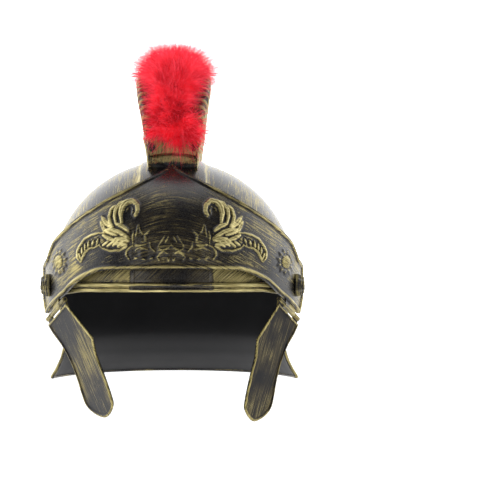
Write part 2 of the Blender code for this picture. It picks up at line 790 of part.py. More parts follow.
# Cheek guards
def make_guard(side, word, parts, tools):
    """A plate with a raised rim, hung from two ears on the pin."""
    frame = hinge_frame(side, REST_SWING[word])
    work = bmesh.new()
    outline = [(side * across * MM, 0, -down * MM) for across, down in zip(GUARD["across"], GUARD["down"])]
    plate = work.faces.new([work.verts.new(point) for point in outline])
    work.normal_update()
    if plate.normal.y > 0:
        plate.normal_flip()
    bmesh.ops.translate(work, verts=work.verts, vec=(0, -(GUARD_THICK / 2 + GUARD_RIM_RISE) * MM, 0))
    for thickness, depth in ((GUARD_RIM, 0.0), (GUARD_RIM_SLOPE, -GUARD_RIM_RISE)):
        bmesh.ops.inset_region(
            work, faces=[plate], thickness=thickness * MM, depth=depth * MM, use_even_offset=True, use_boundary=True
        )
    mesh = bpy.data.meshes.new("cheek_guard_" + word)
    work.to_mesh(mesh)
    work.free()
    guard = bpy.data.objects.new("cheek_guard_" + word, mesh)
    guard.matrix_world = frame
    parts.objects.link(guard)
    dress(guard, "antique_gold")
    solidify(guard, GUARD_THICK)
    bar = bar_frame(frame)
    for low, high, place in ((-EAR_OUT, -EAR_IN, "front"), (EAR_IN, EAR_OUT, "rear")):
        name = "_%s_%s" % (word, place)
        ends = (low + WEB_STEP, high - WEB_STEP)
        web = ((ends[0], -0.45 * GUARD_THICK, -GUARD_TOP - 2), (ends[1], 0.45 * GUARD_THICK, 0))
        combine(guard, block("ear_web" + name, *web, frame, tools), "UNION")
        combine(guard, cylinder("ear" + name, KNUCKLE_RADIUS, low, high, bar, tools), "UNION")
    hole = cylinder("guard_hole_" + word, PIN_HOLE_RADIUS, -PIN_HALF - 1, PIN_HALF + 1, bar, tools, 12)
    combine(guard, hole, "DIFFERENCE")
    return guard


def make_pin(side, word, parts):
    frame = bar_frame(hinge_frame(side))
    pin = cylinder("hinge_pin_" + word, PIN_RADIUS, -PIN_HALF, PIN_HALF, frame, parts, 10)
    pin.hide_render = False
    pin.display_type = "TEXTURED"
    dress(pin, "antique_gold")
    return pin


def main():
    for item in list(bpy.data.objects):
        bpy.data.objects.remove(item)
    parts = new_collection("roman_legionary_helmet")
    tools = new_collection("cutters")
    make_shell(parts, tools)
    make_visor(parts, tools)
    make_comb(parts)
    make_plume(parts)
    for side, word in ((1, "left"), (-1, "right")):
        make_screw(side, word, parts)
        make_guard(side, word, parts, tools)
        make_pin(side, word, parts)


main()
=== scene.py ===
import itertools
import math

import bmesh
import bpy
import numpy as np
from mathutils import Matrix, Vector


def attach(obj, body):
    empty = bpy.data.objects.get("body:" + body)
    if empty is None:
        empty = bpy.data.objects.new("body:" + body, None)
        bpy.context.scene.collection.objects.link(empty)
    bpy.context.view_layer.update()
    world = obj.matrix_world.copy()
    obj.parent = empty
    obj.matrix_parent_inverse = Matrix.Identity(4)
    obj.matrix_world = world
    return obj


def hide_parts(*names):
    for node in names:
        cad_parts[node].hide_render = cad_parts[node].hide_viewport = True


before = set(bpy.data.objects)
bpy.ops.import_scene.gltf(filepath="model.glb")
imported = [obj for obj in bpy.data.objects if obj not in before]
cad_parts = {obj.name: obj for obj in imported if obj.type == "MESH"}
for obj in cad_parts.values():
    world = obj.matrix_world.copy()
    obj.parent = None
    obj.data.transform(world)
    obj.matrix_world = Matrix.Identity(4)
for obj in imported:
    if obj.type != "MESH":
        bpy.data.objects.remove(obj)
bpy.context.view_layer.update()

MM = 0.001
DEGREE = math.radians(1)
WELD = 4e-6
RNG = np.random.default_rng(11)
join = np.concatenate

# Sizes of the helmet in millimetres and degrees, the same as the CAD model's
WALL = 2.0
DOME = (106.5, 120.0, 105.0)
EQUATOR_Z = -103.0
STRIP_RISE = 1.5
STRIP_HALF = (32.0, 28.0)
RIM = {"angle": (0, 45, 60, 70, 84, 92, 96, 100.8), "z": (-109.6, -110.2, -113, -117, -118, -111, -110.5, -116)}
NECK = {
    "z": (-103, -130, -155, -172, -182, -191),
    "across": (106.5, 104.0, 100.5, 104.0, 108.5, 114.0),
    "rear": (120.0, 116.0, 112.0, 124.0, 136.0, 149.0),
}
SIDE_EDGE = {"z": (-116, -130, -145, -191), "angle": (100.8, 102.5, 103.9, 104.2)}
GUARD_TOP_Z, GUARD_LOW_Z = -116.0, -191.0
ROLL_RADIUS = 1.7
BEAD_ABOVE = 4.4
RIDGE_PLACE, RIDGE_HALF, RIDGE_RISE = 16.0, 2.0, 1.4

VISOR_A, VISOR_B = 113.0, 130.0
VISOR_TURN_Z, VISOR_CLOSE = -92.0, 98.0
VISOR_TOP = {"angle": (0, 30, 50, 66, 71, 81), "z": (-5, -29, -50, -69.5, -84, -91)}
VISOR_LOW = {"angle": (0, 29, 41, 52, 73, 79), "z": (-92, -93.5, -100.5, -113, -132, -119)}

PIVOT = (-45.0, -107.0)

COMB_BASE_HALF = 20.5
MOULDING_RISE = 1.6
COMB = {
    "angle": (60.5, 64, 69.5, 76, 83.5, 90, 105, 120, 140, 155, 165),
    "height": (10.5, 27, 48, 62, 71, 75.5, 77, 73, 60, 44, 28),
    "half": (20.5, 22, 28.5, 32.5, 34, 34.2, 34, 30.5, 24, 21.8, 21),
}
COMB_ENDS = COMB["angle"][0], COMB["angle"][-1]
BANDS_HEIGHT = 36.0
CROWN_RISE = 2.5
COMB_LEAN = 2.5
SHOULDER = 9.0
RIBS = 46
RIB_DEPTH = 1.6

HINGE_MIDDLE = (98.1, -58.9, -127.2)
HINGE_DIRECTION = (0.351, 0.860, -0.368)
REST_SWING = {"left": 9.0, "right": 17.0}
KNUCKLE_RADIUS = 2.3
GUARD = {
    "across": (-25, -48, -41, -39, -35, -29, -8, 10, 20, 19, 15, 14, 17, 24, 27),
    "down": (4, 44, 56, 72, 92, 101, 103, 94, 83, 72, 58, 43, 28, 14, 4),
}
GUARD_CORNERS = (0, 1, 14)

# How a pixel of the 500 x 500 photograph falls on the helmet: the column of its middle, the row and height of the
# camera's level line, the size of a pixel at the dome's middle and how far off the camera stands
MIRROR_PX, LEVEL_PX = 171.5, 250
PX_MM = 0.88
VIEW_DISTANCE = 1600.0
VIEW_Z = -77.0

# Mean radii that turn an angle into a length along the surface
SHELL_ARC, VISOR_ARC, ROSETTE_ARC, COMB_ARC = 112.0, 118.0, 122.0, 118.0
DOME_MM_PER_DEGREE = 1.9


def linear(value, table, key, column):
    """A column of a table between its rows, in straight steps."""
    keys = np.array(table[key], float)
    order = 1 if keys[-1] > keys[0] else -1
    return np.interp(order * np.asarray(value, float), order * keys, table[column])


def curve(value, table, key, column):
    """A column of a table between its rows, without corners and without overshoot."""
    keys, values = np.array(table[key], float), np.array(table[column], float)
    if keys[-1] < keys[0]:
        keys, values = keys[::-1], values[::-1]
    value = np.clip(value, keys[0], keys[-1])
    width = np.diff(keys)
    slope = np.diff(values) / width
    product = slope[:-1] * slope[1:]
    total = slope[:-1] + slope[1:]
    middle = np.where(product > 0, 2 * product / np.where(total == 0, 1, total), 0)
    tangent = join([slope[:1], middle, slope[-1:]])
    row = np.clip(np.searchsorted(keys, value, "right") - 1, 0, len(keys) - 2)
    t = (value - keys[row]) / width[row]
    rising = t * t * (3 - 2 * t)
    bent = width[row] * (tangent[row] * t * (1 - t) ** 2 - tangent[row + 1] * t * t * (1 - t))
    return values[row] * (1 - rising) + values[row + 1] * rising + bent


def ramp(value, low, high):
    """0 below low, 1 above high and an S between them."""
    share = np.clip((value - low) / (high - low), 0, 1)
    return share * share * (3 - 2 * share)


def bump(value, middle, half):
    """A rounded ridge of height 1."""
    return np.clip(1 - ((value - middle) / half) ** 2, 0, None)


def unit(v):
    return v / np.maximum(np.linalg.norm(v, axis=-1, keepdims=True), 1e-9)


def triples(x, y, z=0.0):
    """Points from their coordinates, or flow numbers from the lengths along and across the brush strokes."""
    return np.stack(np.broadcast_arrays(x, y, z), -1)


def full_turn(sides):
    return np.linspace(0, 2 * math.pi, sides, endpoint=False)


# Surfaces
def dome_point(x, turn, rise):
    across = np.sqrt(np.clip(1 - (x / DOME[0]) ** 2, 0, None))
    turned = np.radians(turn)
    y = -(DOME[1] + rise) * across * np.cos(turned)
    z = EQUATOR_Z + (DOME[2] + rise) * across * np.sin(turned)
    return triples(x, y, z)


def wall_point(angle, z, strip, rise):
    angle, z = np.broadcast_arrays(np.asarray(angle, float), np.asarray(z, float))
    behind = np.abs((angle + 180) % 360 - 180) > 90
    across = np.where(behind, curve(z, NECK, "z", "across"), DOME[0])
    deep = np.where(behind, curve(z, NECK, "z", "rear"), DOME[1])
    turned = np.radians(angle)
    return triples((across + rise) * np.sin(turned), -(deep + strip + rise) * np.cos(turned), z)


def rim_z(angle):
    turned = np.asarray(angle, float) % 360
    return linear(np.minimum(turned, 360 - turned), RIM, "angle", "z")


def visor_point(angle, z, rise=0.0):
    turned = np.radians(angle)
    tilt = np.clip((z - VISOR_TURN_Z) / VISOR_CLOSE, 0, None)
    level = np.sqrt(1 - tilt**2)
    y = -(VISOR_B + rise) * level * np.cos(turned)
    return triples((VISOR_A + rise) * level * np.sin(turned), y, z + rise * tilt)


# Mesh helpers
def quads(rows, columns, around=False, flip=False):
    last = columns if around else columns - 1
    row, column = np.meshgrid(np.arange(rows - 1), np.arange(last), indexing="ij")
    low = row * columns + column
    right = row * columns + (column + 1) % columns
    faces = np.stack([low, right, right + columns, low + columns], -1).reshape(-1, 4)
    return faces[:, ::-1] if flip else faces


def new_mesh(name, points, loops, totals, flow, gold):
    """A mesh from points in millimetres, the corners of its faces in a row and how many corners each face has."""
    mesh = bpy.data.meshes.new(name)
    mesh.vertices.add(len(points))
    mesh.vertices.foreach_set("co", (points * MM).astype(np.float32).ravel())
    mesh.loops.add(len(loops))
    mesh.loops.foreach_set("vertex_index", loops.astype(np.int32))
    mesh.polygons.add(len(totals))
    mesh.polygons.foreach_set("loop_start", (np.cumsum(totals) - totals).astype(np.int32))
    mesh.polygons.foreach_set("loop_total", totals.astype(np.int32))
    mesh.update(calc_edges=True)
    add_numbers(mesh, flow, gold)
    return mesh


def add_numbers(mesh, flow, gold):
    mesh.attributes.new("flow", "FLOAT_VECTOR", "POINT").data.foreach_set("vector", flow.astype(np.float32).ravel())
    mesh.attributes.new("gold", "FLOAT", "POINT").data.foreach_set("value", gold.astype(np.float32))


def finish_mesh(name, mesh, materials):
    made = bpy.data.objects.new(name, mesh)
    bpy.context.scene.collection.objects.link(made)
    for finish in materials:
        mesh.materials.append(finish)
    return made


class Sheets:
    """Grids of points gathered into one mesh, with numbers carried on each point."""

    def __init__(self):
        self.parts, self.count = [], 0

    def put(self, points, faces, flow, gold, slot=0):
        self.parts.append((points, faces + self.count, flow, gold, np.full(len(faces), slot)))
        self.count += len(points)

    def add(self, points, flow=(0.0, 0.0, 0.0), gold=0.0, around=False, flip=False, slot=0):
        faces = quads(*points.shape[:2], around, flip)
        flow = np.broadcast_to(flow, points.shape).reshape(-1, 3)
        self.put(points.reshape(-1, 3), faces, flow, np.broadcast_to(gold, points.shape[:2]).ravel(), slot)

    def build(self, name, materials, weld=True):
        points, faces, flow, gold, slots = (join(column) for column in zip(*self.parts))
        mesh = new_mesh(name, points, faces.ravel(), np.full(len(faces), 4), flow, gold)
        mesh.polygons.foreach_set("material_index", slots.astype(np.int32))
        mesh.validate()
        work = bmesh.new()
        work.from_mesh(mesh)
        if weld:
            bmesh.ops.remove_doubles(work, verts=work.verts, dist=WELD)
        else:
            bmesh.ops.recalc_face_normals(work, faces=work.faces)
        work.to_mesh(mesh)
        work.free()
        mesh.shade_smooth()
        return finish_mesh(name, mesh, materials)


# Materials
class Nodes:
    """A short way to write the nodes of a material or a world."""

    def __init__(self, name, kind="materials"):
        self.owner = getattr(bpy.data, kind).new(name)
        self.owner.use_nodes = True
        self.tree = self.owner.node_tree

    def put(self, socket, value):
        if isinstance(value, bpy.types.NodeSocket):
            self.tree.links.new(value, socket)
        else:
            socket.default_value = value

    def add(self, kind, sockets=(), **settings):
        """A node with its settings, and its sockets filled by place or by name."""
        made = self.tree.nodes.new("ShaderNode" + kind)
        for key, value in settings.items():
            setattr(made, key, value)
        for key, value in sockets.items() if isinstance(sockets, dict) else enumerate(sockets):
            self.put(made.inputs[key], value)
        return made

    def shade(self, **values):
        """Fills the shader's sockets, named with underscores for spaces."""
        for name, value in values.items():
            self.put(self.tree.nodes["Principled BSDF"].inputs[name.replace("_", " ")], value)

    def place(self):
        return self.add("TexCoord").outputs["Object"]

    def math(self, kind, *values):
        return self.add("Math", values, operation=kind).outputs[0]

    def mix(self, share, a, b):
        return self.add("Mix", {0: share, 6: a, 7: b}, data_type="RGBA").outputs[2]

    def span(self, *values):
        """A number brought from one range to another, 0 to 1 if none is given, along an S."""
        return self.add("MapRange", values, interpolation_type="SMOOTHSTEP").outputs[0]

    def noise(self, vector, scale, detail, rough):
        sockets = {"Vector": vector, "Scale": scale, "Detail": detail, "Roughness": rough}
        return self.add("TexNoise", sockets).outputs["Fac"]

    def stretch(self, vector, scales):
        return self.add("Mapping", {"Vector": vector, "Scale": scales}).outputs[0]

    def bump(self, height, strength, distance=0.0001):
        return self.add("Bump", {"Strength": strength, "Distance": distance, "Height": height}).outputs[0]

    def carried(self, name):
        """A number carried on the mesh's points."""
        return self.add("Attribute", attribute_name=name)


BLACK = (0.011, 0.0105, 0.0115, 1)
BROWN_BLACK = (0.085, 0.068, 0.034, 1)
OLD_GOLD = (0.135, 0.113, 0.043, 1)
GOLD = (0.34, 0.28, 0.105, 1)
PALE_GOLD = (0.80, 0.70, 0.33, 1)


def brushed_gold(name, cover, along=0.030, across=0.62, black_rough=0.27, bright=1.0, gloss=0.27):
    """Black plastic dry-brushed with gold: strokes follow the flow number and settle on raised places."""
    n = Nodes(name)
    flow = n.carried("flow").outputs["Vector"]
    raised = n.carried("gold").outputs["Fac"]
    place = n.place()
    strokes = n.noise(n.stretch(flow, (along, across, 0.2)), 1.0, 5.0, 0.68)
    hairs = n.noise(n.stretch(flow, (along * 2.0, across * 2.5, 0.3)), 1.0, 3.0, 0.7)
    patches = n.noise(place, 26.0, 3.0, 0.55)
    specks = n.noise(place, 900.0, 2.0, 0.6)
    total = n.math("MULTIPLY_ADD", strokes, 1.0, n.math("MULTIPLY", hairs, 0.9))
    for part, weight in ((patches, 0.6), (specks, 0.15), (raised, 0.75)):
        total = n.math("MULTIPLY_ADD", part, weight, total)
    start = 1.325 + 0.5 * (1 - cover)
    paint = n.span(total, start, start + 0.16)
    thick = n.span(total, start + 0.16, start + 0.70)
    tone = n.mix(n.span(hairs, 0.35, 0.65), OLD_GOLD, GOLD)
    # A bright below 1 dulls the thick gold; the guards' two copies of one finish use it, with their cover, as
    # painted light and shade.
    tone = n.mix(n.math("MULTIPLY", thick, 0.75 * bright), tone, PALE_GOLD)
    under = n.mix(n.math("MULTIPLY", n.span(strokes, 0.42, 0.62), n.span(patches, 0.35, 0.6)), BLACK, BROWN_BLACK)
    rough = n.span(specks, 0.3, 0.7, black_rough - 0.04, black_rough + 0.06)
    relief = n.math("MULTIPLY_ADD", paint, 0.5, n.math("MULTIPLY", hairs, 0.6))
    n.shade(Base_Color=n.mix(paint, under, tone), Roughness=n.math("MULTIPLY_ADD", paint, 0.14, rough),
            Specular_IOR_Level=gloss, Metallic=n.math("MULTIPLY", paint, 0.55), Normal=n.bump(relief, 0.35, 0.00018))
    return n.owner


def matt_black(name):
    """Unpainted inside of the moulding, faintly mottled."""
    n = Nodes(name)
    place = n.place()
    cloud = n.noise(place, 18.0, 4.0, 0.6)
    grain = n.noise(place, 1400.0, 2.0, 0.5)
    n.shade(Base_Color=n.mix(cloud, (0.010, 0.010, 0.011, 1), (0.018, 0.018, 0.019, 1)),
            Roughness=n.span(cloud, 0.3, 0.7, 0.42, 0.56), Specular_IOR_Level=0.12, Normal=n.bump(grain, 0.2))
    return n.owner


def screw_metal(name):
    n = Nodes(name)
    scratch = n.noise(n.stretch(n.place(), (300, 2500, 2500)), 1.0, 3.0, 0.6)
    n.shade(Base_Color=n.mix(scratch, (0.42, 0.42, 0.41, 1), (0.74, 0.73, 0.70, 1)),
            Roughness=n.span(scratch, 0.3, 0.7, 0.2, 0.36), Metallic=1.0, Normal=n.bump(scratch, 0.2))
    return n.owner


def red_fur(name, base, tip, shade):
    """Fibres that are deeper red at the root and paler pink at the tip, the paler tips being painted light for light
    shining through them, with darker clumps as painted shade in the plume's hollows and a faint painted glow of
    their own colour; half their shading lets light through.
    """
    n = Nodes(name)
    along = n.carried("gold").outputs["Fac"]
    hollow_shade_noise = n.noise(n.place(), 90.0, 3.0, 0.6)
    # Paler tips: painted light standing in for light shining through the thin fibre ends.
    tone = n.mix(n.span(along, 0.15, 1.0), base, tip)
    # Darker clumps: painted shade in the hollows between the tufts.
    tone = n.mix(n.math("MULTIPLY", n.span(hollow_shade_noise, 0.42, 0.62), 0.6), tone, shade)
    # The emission is a painted glow: the fibres give off light of their own colour.
    n.shade(Base_Color=tone, Roughness=0.62, Specular_IOR_Level=0.25, Emission_Color=tone, Emission_Strength=0.13)
    glow = n.add("BsdfTranslucent", {"Color": tone}).outputs[0]
    both = n.add("MixShader", (0.5, n.tree.nodes["Principled BSDF"].outputs[0], glow)).outputs[0]
    n.put(n.tree.nodes["Material Output"].inputs["Surface"], both)
    return n.owner


# Shell
def strip_half(turn):
    return STRIP_HALF[0] + (STRIP_HALF[1] - STRIP_HALF[0]) * np.sin(np.radians(turn))


def dome_columns(turn):
    """Places across the dome, the same number at every turn and close at the strip's edges."""
    half = float(strip_half(turn))
    edge = half + np.linspace(-2.6, 0.4, 9)
    start = math.degrees(math.asin((half + 0.4) / DOME[0]))
    flank = join([np.linspace(start, 79.2, 44)[1:], np.linspace(79.2, 90, 10)[1:]])
    right = join([np.linspace(0, half - 2.6, 14)[:-1], edge, DOME[0] * np.sin(np.radians(flank))])
    return join([-right[:0:-1], right])


def strip_lift(x, half):
    """The strip stands over the dome, its edges rounded."""
    out = np.clip((np.abs(x) - (half - 2.2)) / 2.4, 0, 1)
    return STRIP_RISE * np.sqrt(np.clip(1 - out**2, 0, None))


def dome_sheet(sheets):
    turns = np.linspace(0, 180, 131)
    x = np.stack([dome_columns(t) for t in turns])
    turn = np.repeat(turns[:, None], x.shape[1], 1)
    half = strip_half(turn)
    rise = strip_lift(x, half)
    out = np.abs(x)
    reach = ramp(out, half + 5, half + 8) * (1 - ramp(out, 91, 96))
    bars = bump(turn, 96, 1.3) + bump(turn, 103, 1.3)
    fold = ramp(turn, 93.5, 95) * (1 - ramp(turn, 104, 105.5))
    rise = rise + reach * (0.9 * bars + 0.35 * fold)
    edge = np.exp(-(((out - half) / 0.8) ** 2))
    gold = 0.30 + 0.36 * edge + reach * (0.7 * bars - 0.3 * fold) - 0.12 * (out < half - 2)
    gold = gold - (1 - ramp(turn, 6, 11)) * (1.0 * (out < half + 0.6) - 0.14 * (out > half + 0.6))
    along = turn * DOME_MM_PER_DEGREE
    sheets.add(dome_point(x, turn, rise), triples(along, x - np.minimum(along, 14)), gold)
    inner = dome_point(x, turn, -WALL)[::3, ::3]
    sheets.add(inner * ((DOME[0] - WALL) / DOME[0], 1, 1), flip=True, slot=1)


def ring_angles():
    front = np.degrees(np.arcsin(np.clip(dome_columns(0) / DOME[0], -1, 1)))
    return join([front, 180 - front[-2:0:-1]])


def wall_ring(sheets):
    angle = ring_angles()
    x = DOME[0] * np.sin(np.radians(angle))
    strip = strip_lift(x, STRIP_HALF[0])
    low = rim_z(angle)
    share = join([np.linspace(0, 0.3, 5)[:-1], np.linspace(0.3, 1, 26)])[:, None]
    z = EQUATOR_Z + (low - EQUATOR_Z) * share
    above = z - low
    front = 1 - ramp(np.minimum(angle % 360, 360 - angle % 360), 84, 97)
    lip, ledge = 0.8 * (1 - ramp(above, 0.9, 1.6)), 0.5 * (1 - ramp(above, 6.9, 8.2))
    brim = lip + 1.3 * np.sqrt(bump(above, BEAD_ABOVE, 2.3)) + ledge
    rise = np.where(share > 0, brim * front * ramp(share, 0, 0.25), 0)
    gold = 0.30 + 0.40 * bump(above, BEAD_ABOVE, 2.2) * front + 0.32 * (above < 1.3)
    under_strip = (np.abs(x) < STRIP_HALF[0] + 0.6) * (np.cos(np.radians(angle)) > 0)
    gold = gold - under_strip * (0.95 - 0.70 * bump(above, BEAD_ABOVE, 2.0))
    turned = np.radians(angle) * SHELL_ARC
    hatch = np.where(above > 7, 0.8, 0.0)
    flow = triples(turned * (1 - hatch) + 2.2 * hatch * z, z + hatch * turned, hatch)
    sheets.add(wall_point(angle, z, strip, rise), flow, gold, around=True, flip=True)
    sheets.add(wall_point(angle, z, 0, -WALL)[::3], around=True, slot=1)


def neck_sheet(sheets):
    ring = ring_angles() % 360
    first = RIM["angle"][-1]
    columns = np.sort(ring[(ring > first - 0.05) & (ring < 360.05 - first)])
    z = join([np.linspace(GUARD_TOP_Z, -178, 70), np.linspace(-178, GUARD_LOW_Z, 24)[1:]])[:, None]
    edge = curve(z, SIDE_EDGE, "z", "angle")
    angle = 180 + (columns[None, :] - 180) * (180 - edge) / (180 - first)
    rear = curve(z, NECK, "z", "rear")
    steps = np.hypot(np.diff(rear[:, 0]), np.diff(z[:, 0]))
    from_low = join([np.cumsum(steps[::-1])[::-1], [0]])[:, None]
    side = np.minimum(angle - edge, 360 - edge - angle) * DEGREE * 108
    strip = strip_lift(DOME[0] * np.sin(np.radians(angle)), STRIP_HALF[0]) * (1 - ramp(-z, 116, 117.2))
    inside = np.minimum(side - RIDGE_PLACE, from_low - RIDGE_PLACE - 6)
    ridge = np.sqrt(bump(inside, 0, RIDGE_HALF)) * ramp(-z, 120, 130)
    rim = np.minimum(side, from_low)
    rise = strip + RIDGE_RISE * ridge + 0.7 * (1 - ramp(rim, 2.2, 3.4)) * ramp(-z, 116, 121)
    gold = 0.32 + 0.75 * ridge + 0.5 * bump(rim, 2.2, 1.6) - 0.2 * bump(inside, -4, 2.5)
    flow = triples(z, np.radians(angle) * SHELL_ARC)
    sheets.add(wall_point(angle, z, strip, rise - strip), flow, gold, flip=True)
    sheets.add(wall_point(angle, z, 0, -WALL)[::2, ::2], slot=1)


def rim_tube(sheets):
    """The rolled edge of the rim, right round the helmet, brushed along it and gold on its outside."""
    front, side = np.linspace(0, 100.8, 90), np.linspace(-117, GUARD_LOW_Z, 40)
    rear = np.linspace(float(linear(GUARD_LOW_Z, SIDE_EDGE, "z", "angle")), 180, 50)[1:]
    line = ((front, rim_z(front)), (curve(side, SIDE_EDGE, "z", "angle"), side), (rear, GUARD_LOW_Z))
    half = join([wall_point(angle, z, 0, -WALL / 2) for angle, z in line])
    path = join([half, half[-2:0:-1] * (-1, 1, 1)])
    along = np.roll(path, -1, 0) - np.roll(path, 1, 0)
    path, along = join([path, path[:1]]), unit(join([along, along[:1]]))
    out = path * (1, 1, 0)
    out = unit(out - along * (out * along).sum(1, keepdims=True))
    third = np.cross(along, out)
    turned = full_turn(10)
    ring = out[:, None] * np.cos(turned)[None, :, None] + third[:, None] * np.sin(turned)[None, :, None]
    length = join([[0], np.cumsum(np.linalg.norm(np.diff(path, axis=0), axis=1))])[:, None]
    flow = triples(length, turned * ROLL_RADIUS)
    sheets.add(path[:, None] + ROLL_RADIUS * ring, flow, 0.45 + 0.35 * np.cos(turned), around=True)


def make_shell(outside, inside):
    sheets = Sheets()
    dome_sheet(sheets)
    wall_ring(sheets)
    neck_sheet(sheets)
    shell = sheets.build("shell_moulding", [outside, inside])
    rim = Sheets()
    rim_tube(rim)
    roll = rim.build("shell_rolled_rim", [outside])
    pads = join_pieces("shell_pads", [turned_post(side, SHELL_PAD) for side in (1, -1)], [outside])
    for piece in (shell, roll, pads):
        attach(piece, "helmet")
    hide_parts("shell")


# Small pieces made of turned and boxed shapes; profiles round the pivot axis are pairs of radius and X
SHELL_PAD = ((5.5, 97.5), (5.5, 100.2), (5.2, 100.6), (2.8, 100.6))
VISOR_PAD = ((5.5, 104.5), (5.5, 101.2), (5.2, 100.9), (2.9, 100.9))
COLLAR = ((9.9, 104.5), (9.9, 107.2), (9.6, 107.8), (8.2, 110.6), (7.4, 112.0), (6.3, 112.3), (5.8, 111.9),
          (5.6, 111.0), (2.9, 111.0), (2.9, 104.5))


def turned_post(side, profile, sides=24, notch=None):
    """Rings about the pivot axis: points, quads, flow and gold."""
    turned = full_turn(sides)
    radius, lift = (np.repeat(column[:, None], sides, 1) for column in np.array(profile, float).T)
    if notch:
        radius, lift = notch(turned, radius, lift)
    points = triples(side * lift, PIVOT[0] + side * radius * np.cos(turned), PIVOT[1] + radius * np.sin(turned))
    flow = triples(turned * 8, points[..., 0]).reshape(-1, 3)
    return points.reshape(-1, 3), quads(len(profile), sides, True), flow, np.full(len(flow), 0.36)


def box_piece(matrix, lows, highs):
    corner = np.array(list(itertools.product(*zip(lows, highs))), float)
    faces = np.array([(0, 1, 3, 2), (4, 6, 7, 5), (0, 4, 5, 1), (2, 3, 7, 6), (0, 2, 6, 4), (1, 5, 7, 3)])
    return place(matrix, corner), faces, corner, np.full(8, 0.4)


def bar_piece(matrix, radius, low, high, sides=18):
    """A round bar along a frame's X, its ends a little rounded."""
    profile = ((0.01, low), (radius - 0.4, low), (radius, low + 0.4), (radius, high - 0.4), (radius - 0.4, high),
               (0.01, high))
    turned = full_turn(sides)
    local = join([triples(x, r * np.cos(turned), r * np.sin(turned)) for r, x in profile])
    flow = triples(local[:, 0], np.tile(turned, len(profile)) * radius)
    return place(matrix, local), quads(len(profile), sides, True), flow, np.full(len(local), 0.5)


def place(matrix, local):
    turn = np.array(matrix.to_3x3())
    return local @ turn.T + np.array(matrix.translation) / MM


def join_pieces(name, pieces, materials):
    """Several shapes given as points, quads, flow and gold, as one mesh with sharp edges."""
    sheets = Sheets()
    for piece in pieces:
        sheets.put(*piece)
    made = sheets.build(name, materials, weld=False)
    made.data.set_sharp_from_angle(angle=math.radians(35))
    return made


# Visor: ornament strokes drawn over an enlarged corner of the photograph
DRAW_CORNER = (165.0, 150.0)
DRAW_SCALE = 1.045
# Strokes by half width and rise, each given as the X and Y of its points in turn
STROKES = {
    (2.9, 1.9): ((44.5, 69.5, 41.6, 65, 42, 58, 47, 53.5, 53, 54.5, 57.5, 60, 59.3, 67, 58, 76),),
    (1.9, 1.8): ((53, 53, 60, 56.5, 64.3, 63, 65.5, 70, 64, 77),),
    (1.9, 1.7): ((65, 58.5, 70, 64, 71.5, 70.5, 70, 77, 67, 81),),
    (2.6, 1.5): ((69, 81.5, 74, 77, 79.3, 70),),
    (2.3, 1.4): ((72, 87, 77, 83, 80.5, 75.5),),
    (2.2, 1.7): ((51.5, 85, 57, 80.3, 64, 78), (50, 92.5, 56, 89, 61, 86, 68, 83.8, 74, 84)),
    (1.6, 1.5): ((63, 89.5, 70, 87.5, 74.5, 84.5),),
    (2.1, 1.6): ((65, 95, 72, 92.5, 77.5, 89.5),),
    (2.4, 1.6): ((50.5, 95, 56, 94, 64, 93),),
    (2.2, 1.5): ((53, 99, 59, 98.5, 66, 98),),
    (1.6, 1.7): ((52.5, 101, 60, 105, 70, 105.6, 78, 103, 81.5, 100),),
    (1.3, 1.6): ((56, 96, 62, 101.5), (61, 95, 67, 100.5), (66, 96, 73, 101.3), (72, 96, 77.5, 100.3)),
    (1.5, 1.5): ((76, 87, 83, 87, 90, 89, 97, 93, 101.3, 99, 104.6, 106, 104, 113, 101.8, 117),),
    (1.2, 1.4): ((81, 99, 86, 102, 92, 103, 96, 107, 99, 113, 101, 117),),
    (1.0, 1.3): ((82, 93, 85, 100), (87, 94.5, 89.5, 101), (92, 95.5, 93.3, 102), (96, 98, 96.3, 105),
        (99.3, 102, 99.2, 109), (102.2, 108, 100.7, 114), (29, 96, 28.3, 102, 23.5, 106.5)),
    (1.1, 1.4): ((29, 84, 33.8, 89, 33.5, 96, 38, 96.8), (45.5, 85, 47, 91, 46.5, 97.5)),
    (0.9, 1.4): ((40.5, 78, 39, 84, 36.5, 88),),
    (0.9, 1.3): ((41.5, 79, 42.3, 85, 43.5, 91),),
    (1.3, 1.1): ((33, 99, 38, 100.3, 44, 99.5),),
    (1.1, 1.6): ((46, 99.5, 50, 102, 53.3, 106, 53.6, 110, 50, 115),),
    (1.0, 1.0): ((30.5, 104, 36, 102.8, 40.5, 102.6, 44, 105),),
    (1.2, 1.1): ((26, 113, 29, 114.3), (34, 114.3, 37, 114), (42, 113.3, 45, 113)),
    (0.9, 1.2): ((9.3, 90, 13, 97), (13, 89, 17, 96, 20.2, 100.5),
        (6.8, 99, 9, 102, 14, 104.5, 21.5, 112, 19, 115.3), (10, 109, 14, 106, 19, 103.5)),
    (0.8, 1.2): ((8.2, 113, 9.5, 116, 10.9, 113),),
}
# Raised bodies under the strokes: half width, rise, gold and points
BODIES = (
    (4.0, 0.9, 0.42, (44.5, 66, 43.5, 60, 48, 55.5, 54, 57)),
    (6.2, 1.1, 0.5, (57, 60, 62, 67, 63.5, 75, 61, 82)),
    (3.4, 0.9, 0.45, (67, 62, 69.5, 70, 70, 78)),
    (3.6, 0.9, 0.42, (70, 82, 77, 75)),
    (6.4, 1.1, 0.5, (55, 86, 64, 84, 72, 84)),
    (7.0, 1.1, 0.5, (57, 96, 66, 96, 75, 95)),
    (4.6, 0.9, 0.3, (80, 92, 88, 93.5, 95, 97.5, 100, 104, 102, 111)),
    (5.0, 0.9, 0.0, (39, 92, 39.5, 104, 40, 110)),
    (5.0, 0.9, 0.0, (7, 100, 14, 106)),
)
# Angle and height of the middle, half width and half height, and the number of lobes
ROSETTE = ((57.5, -87.0), (13.5, 10.0), 11)


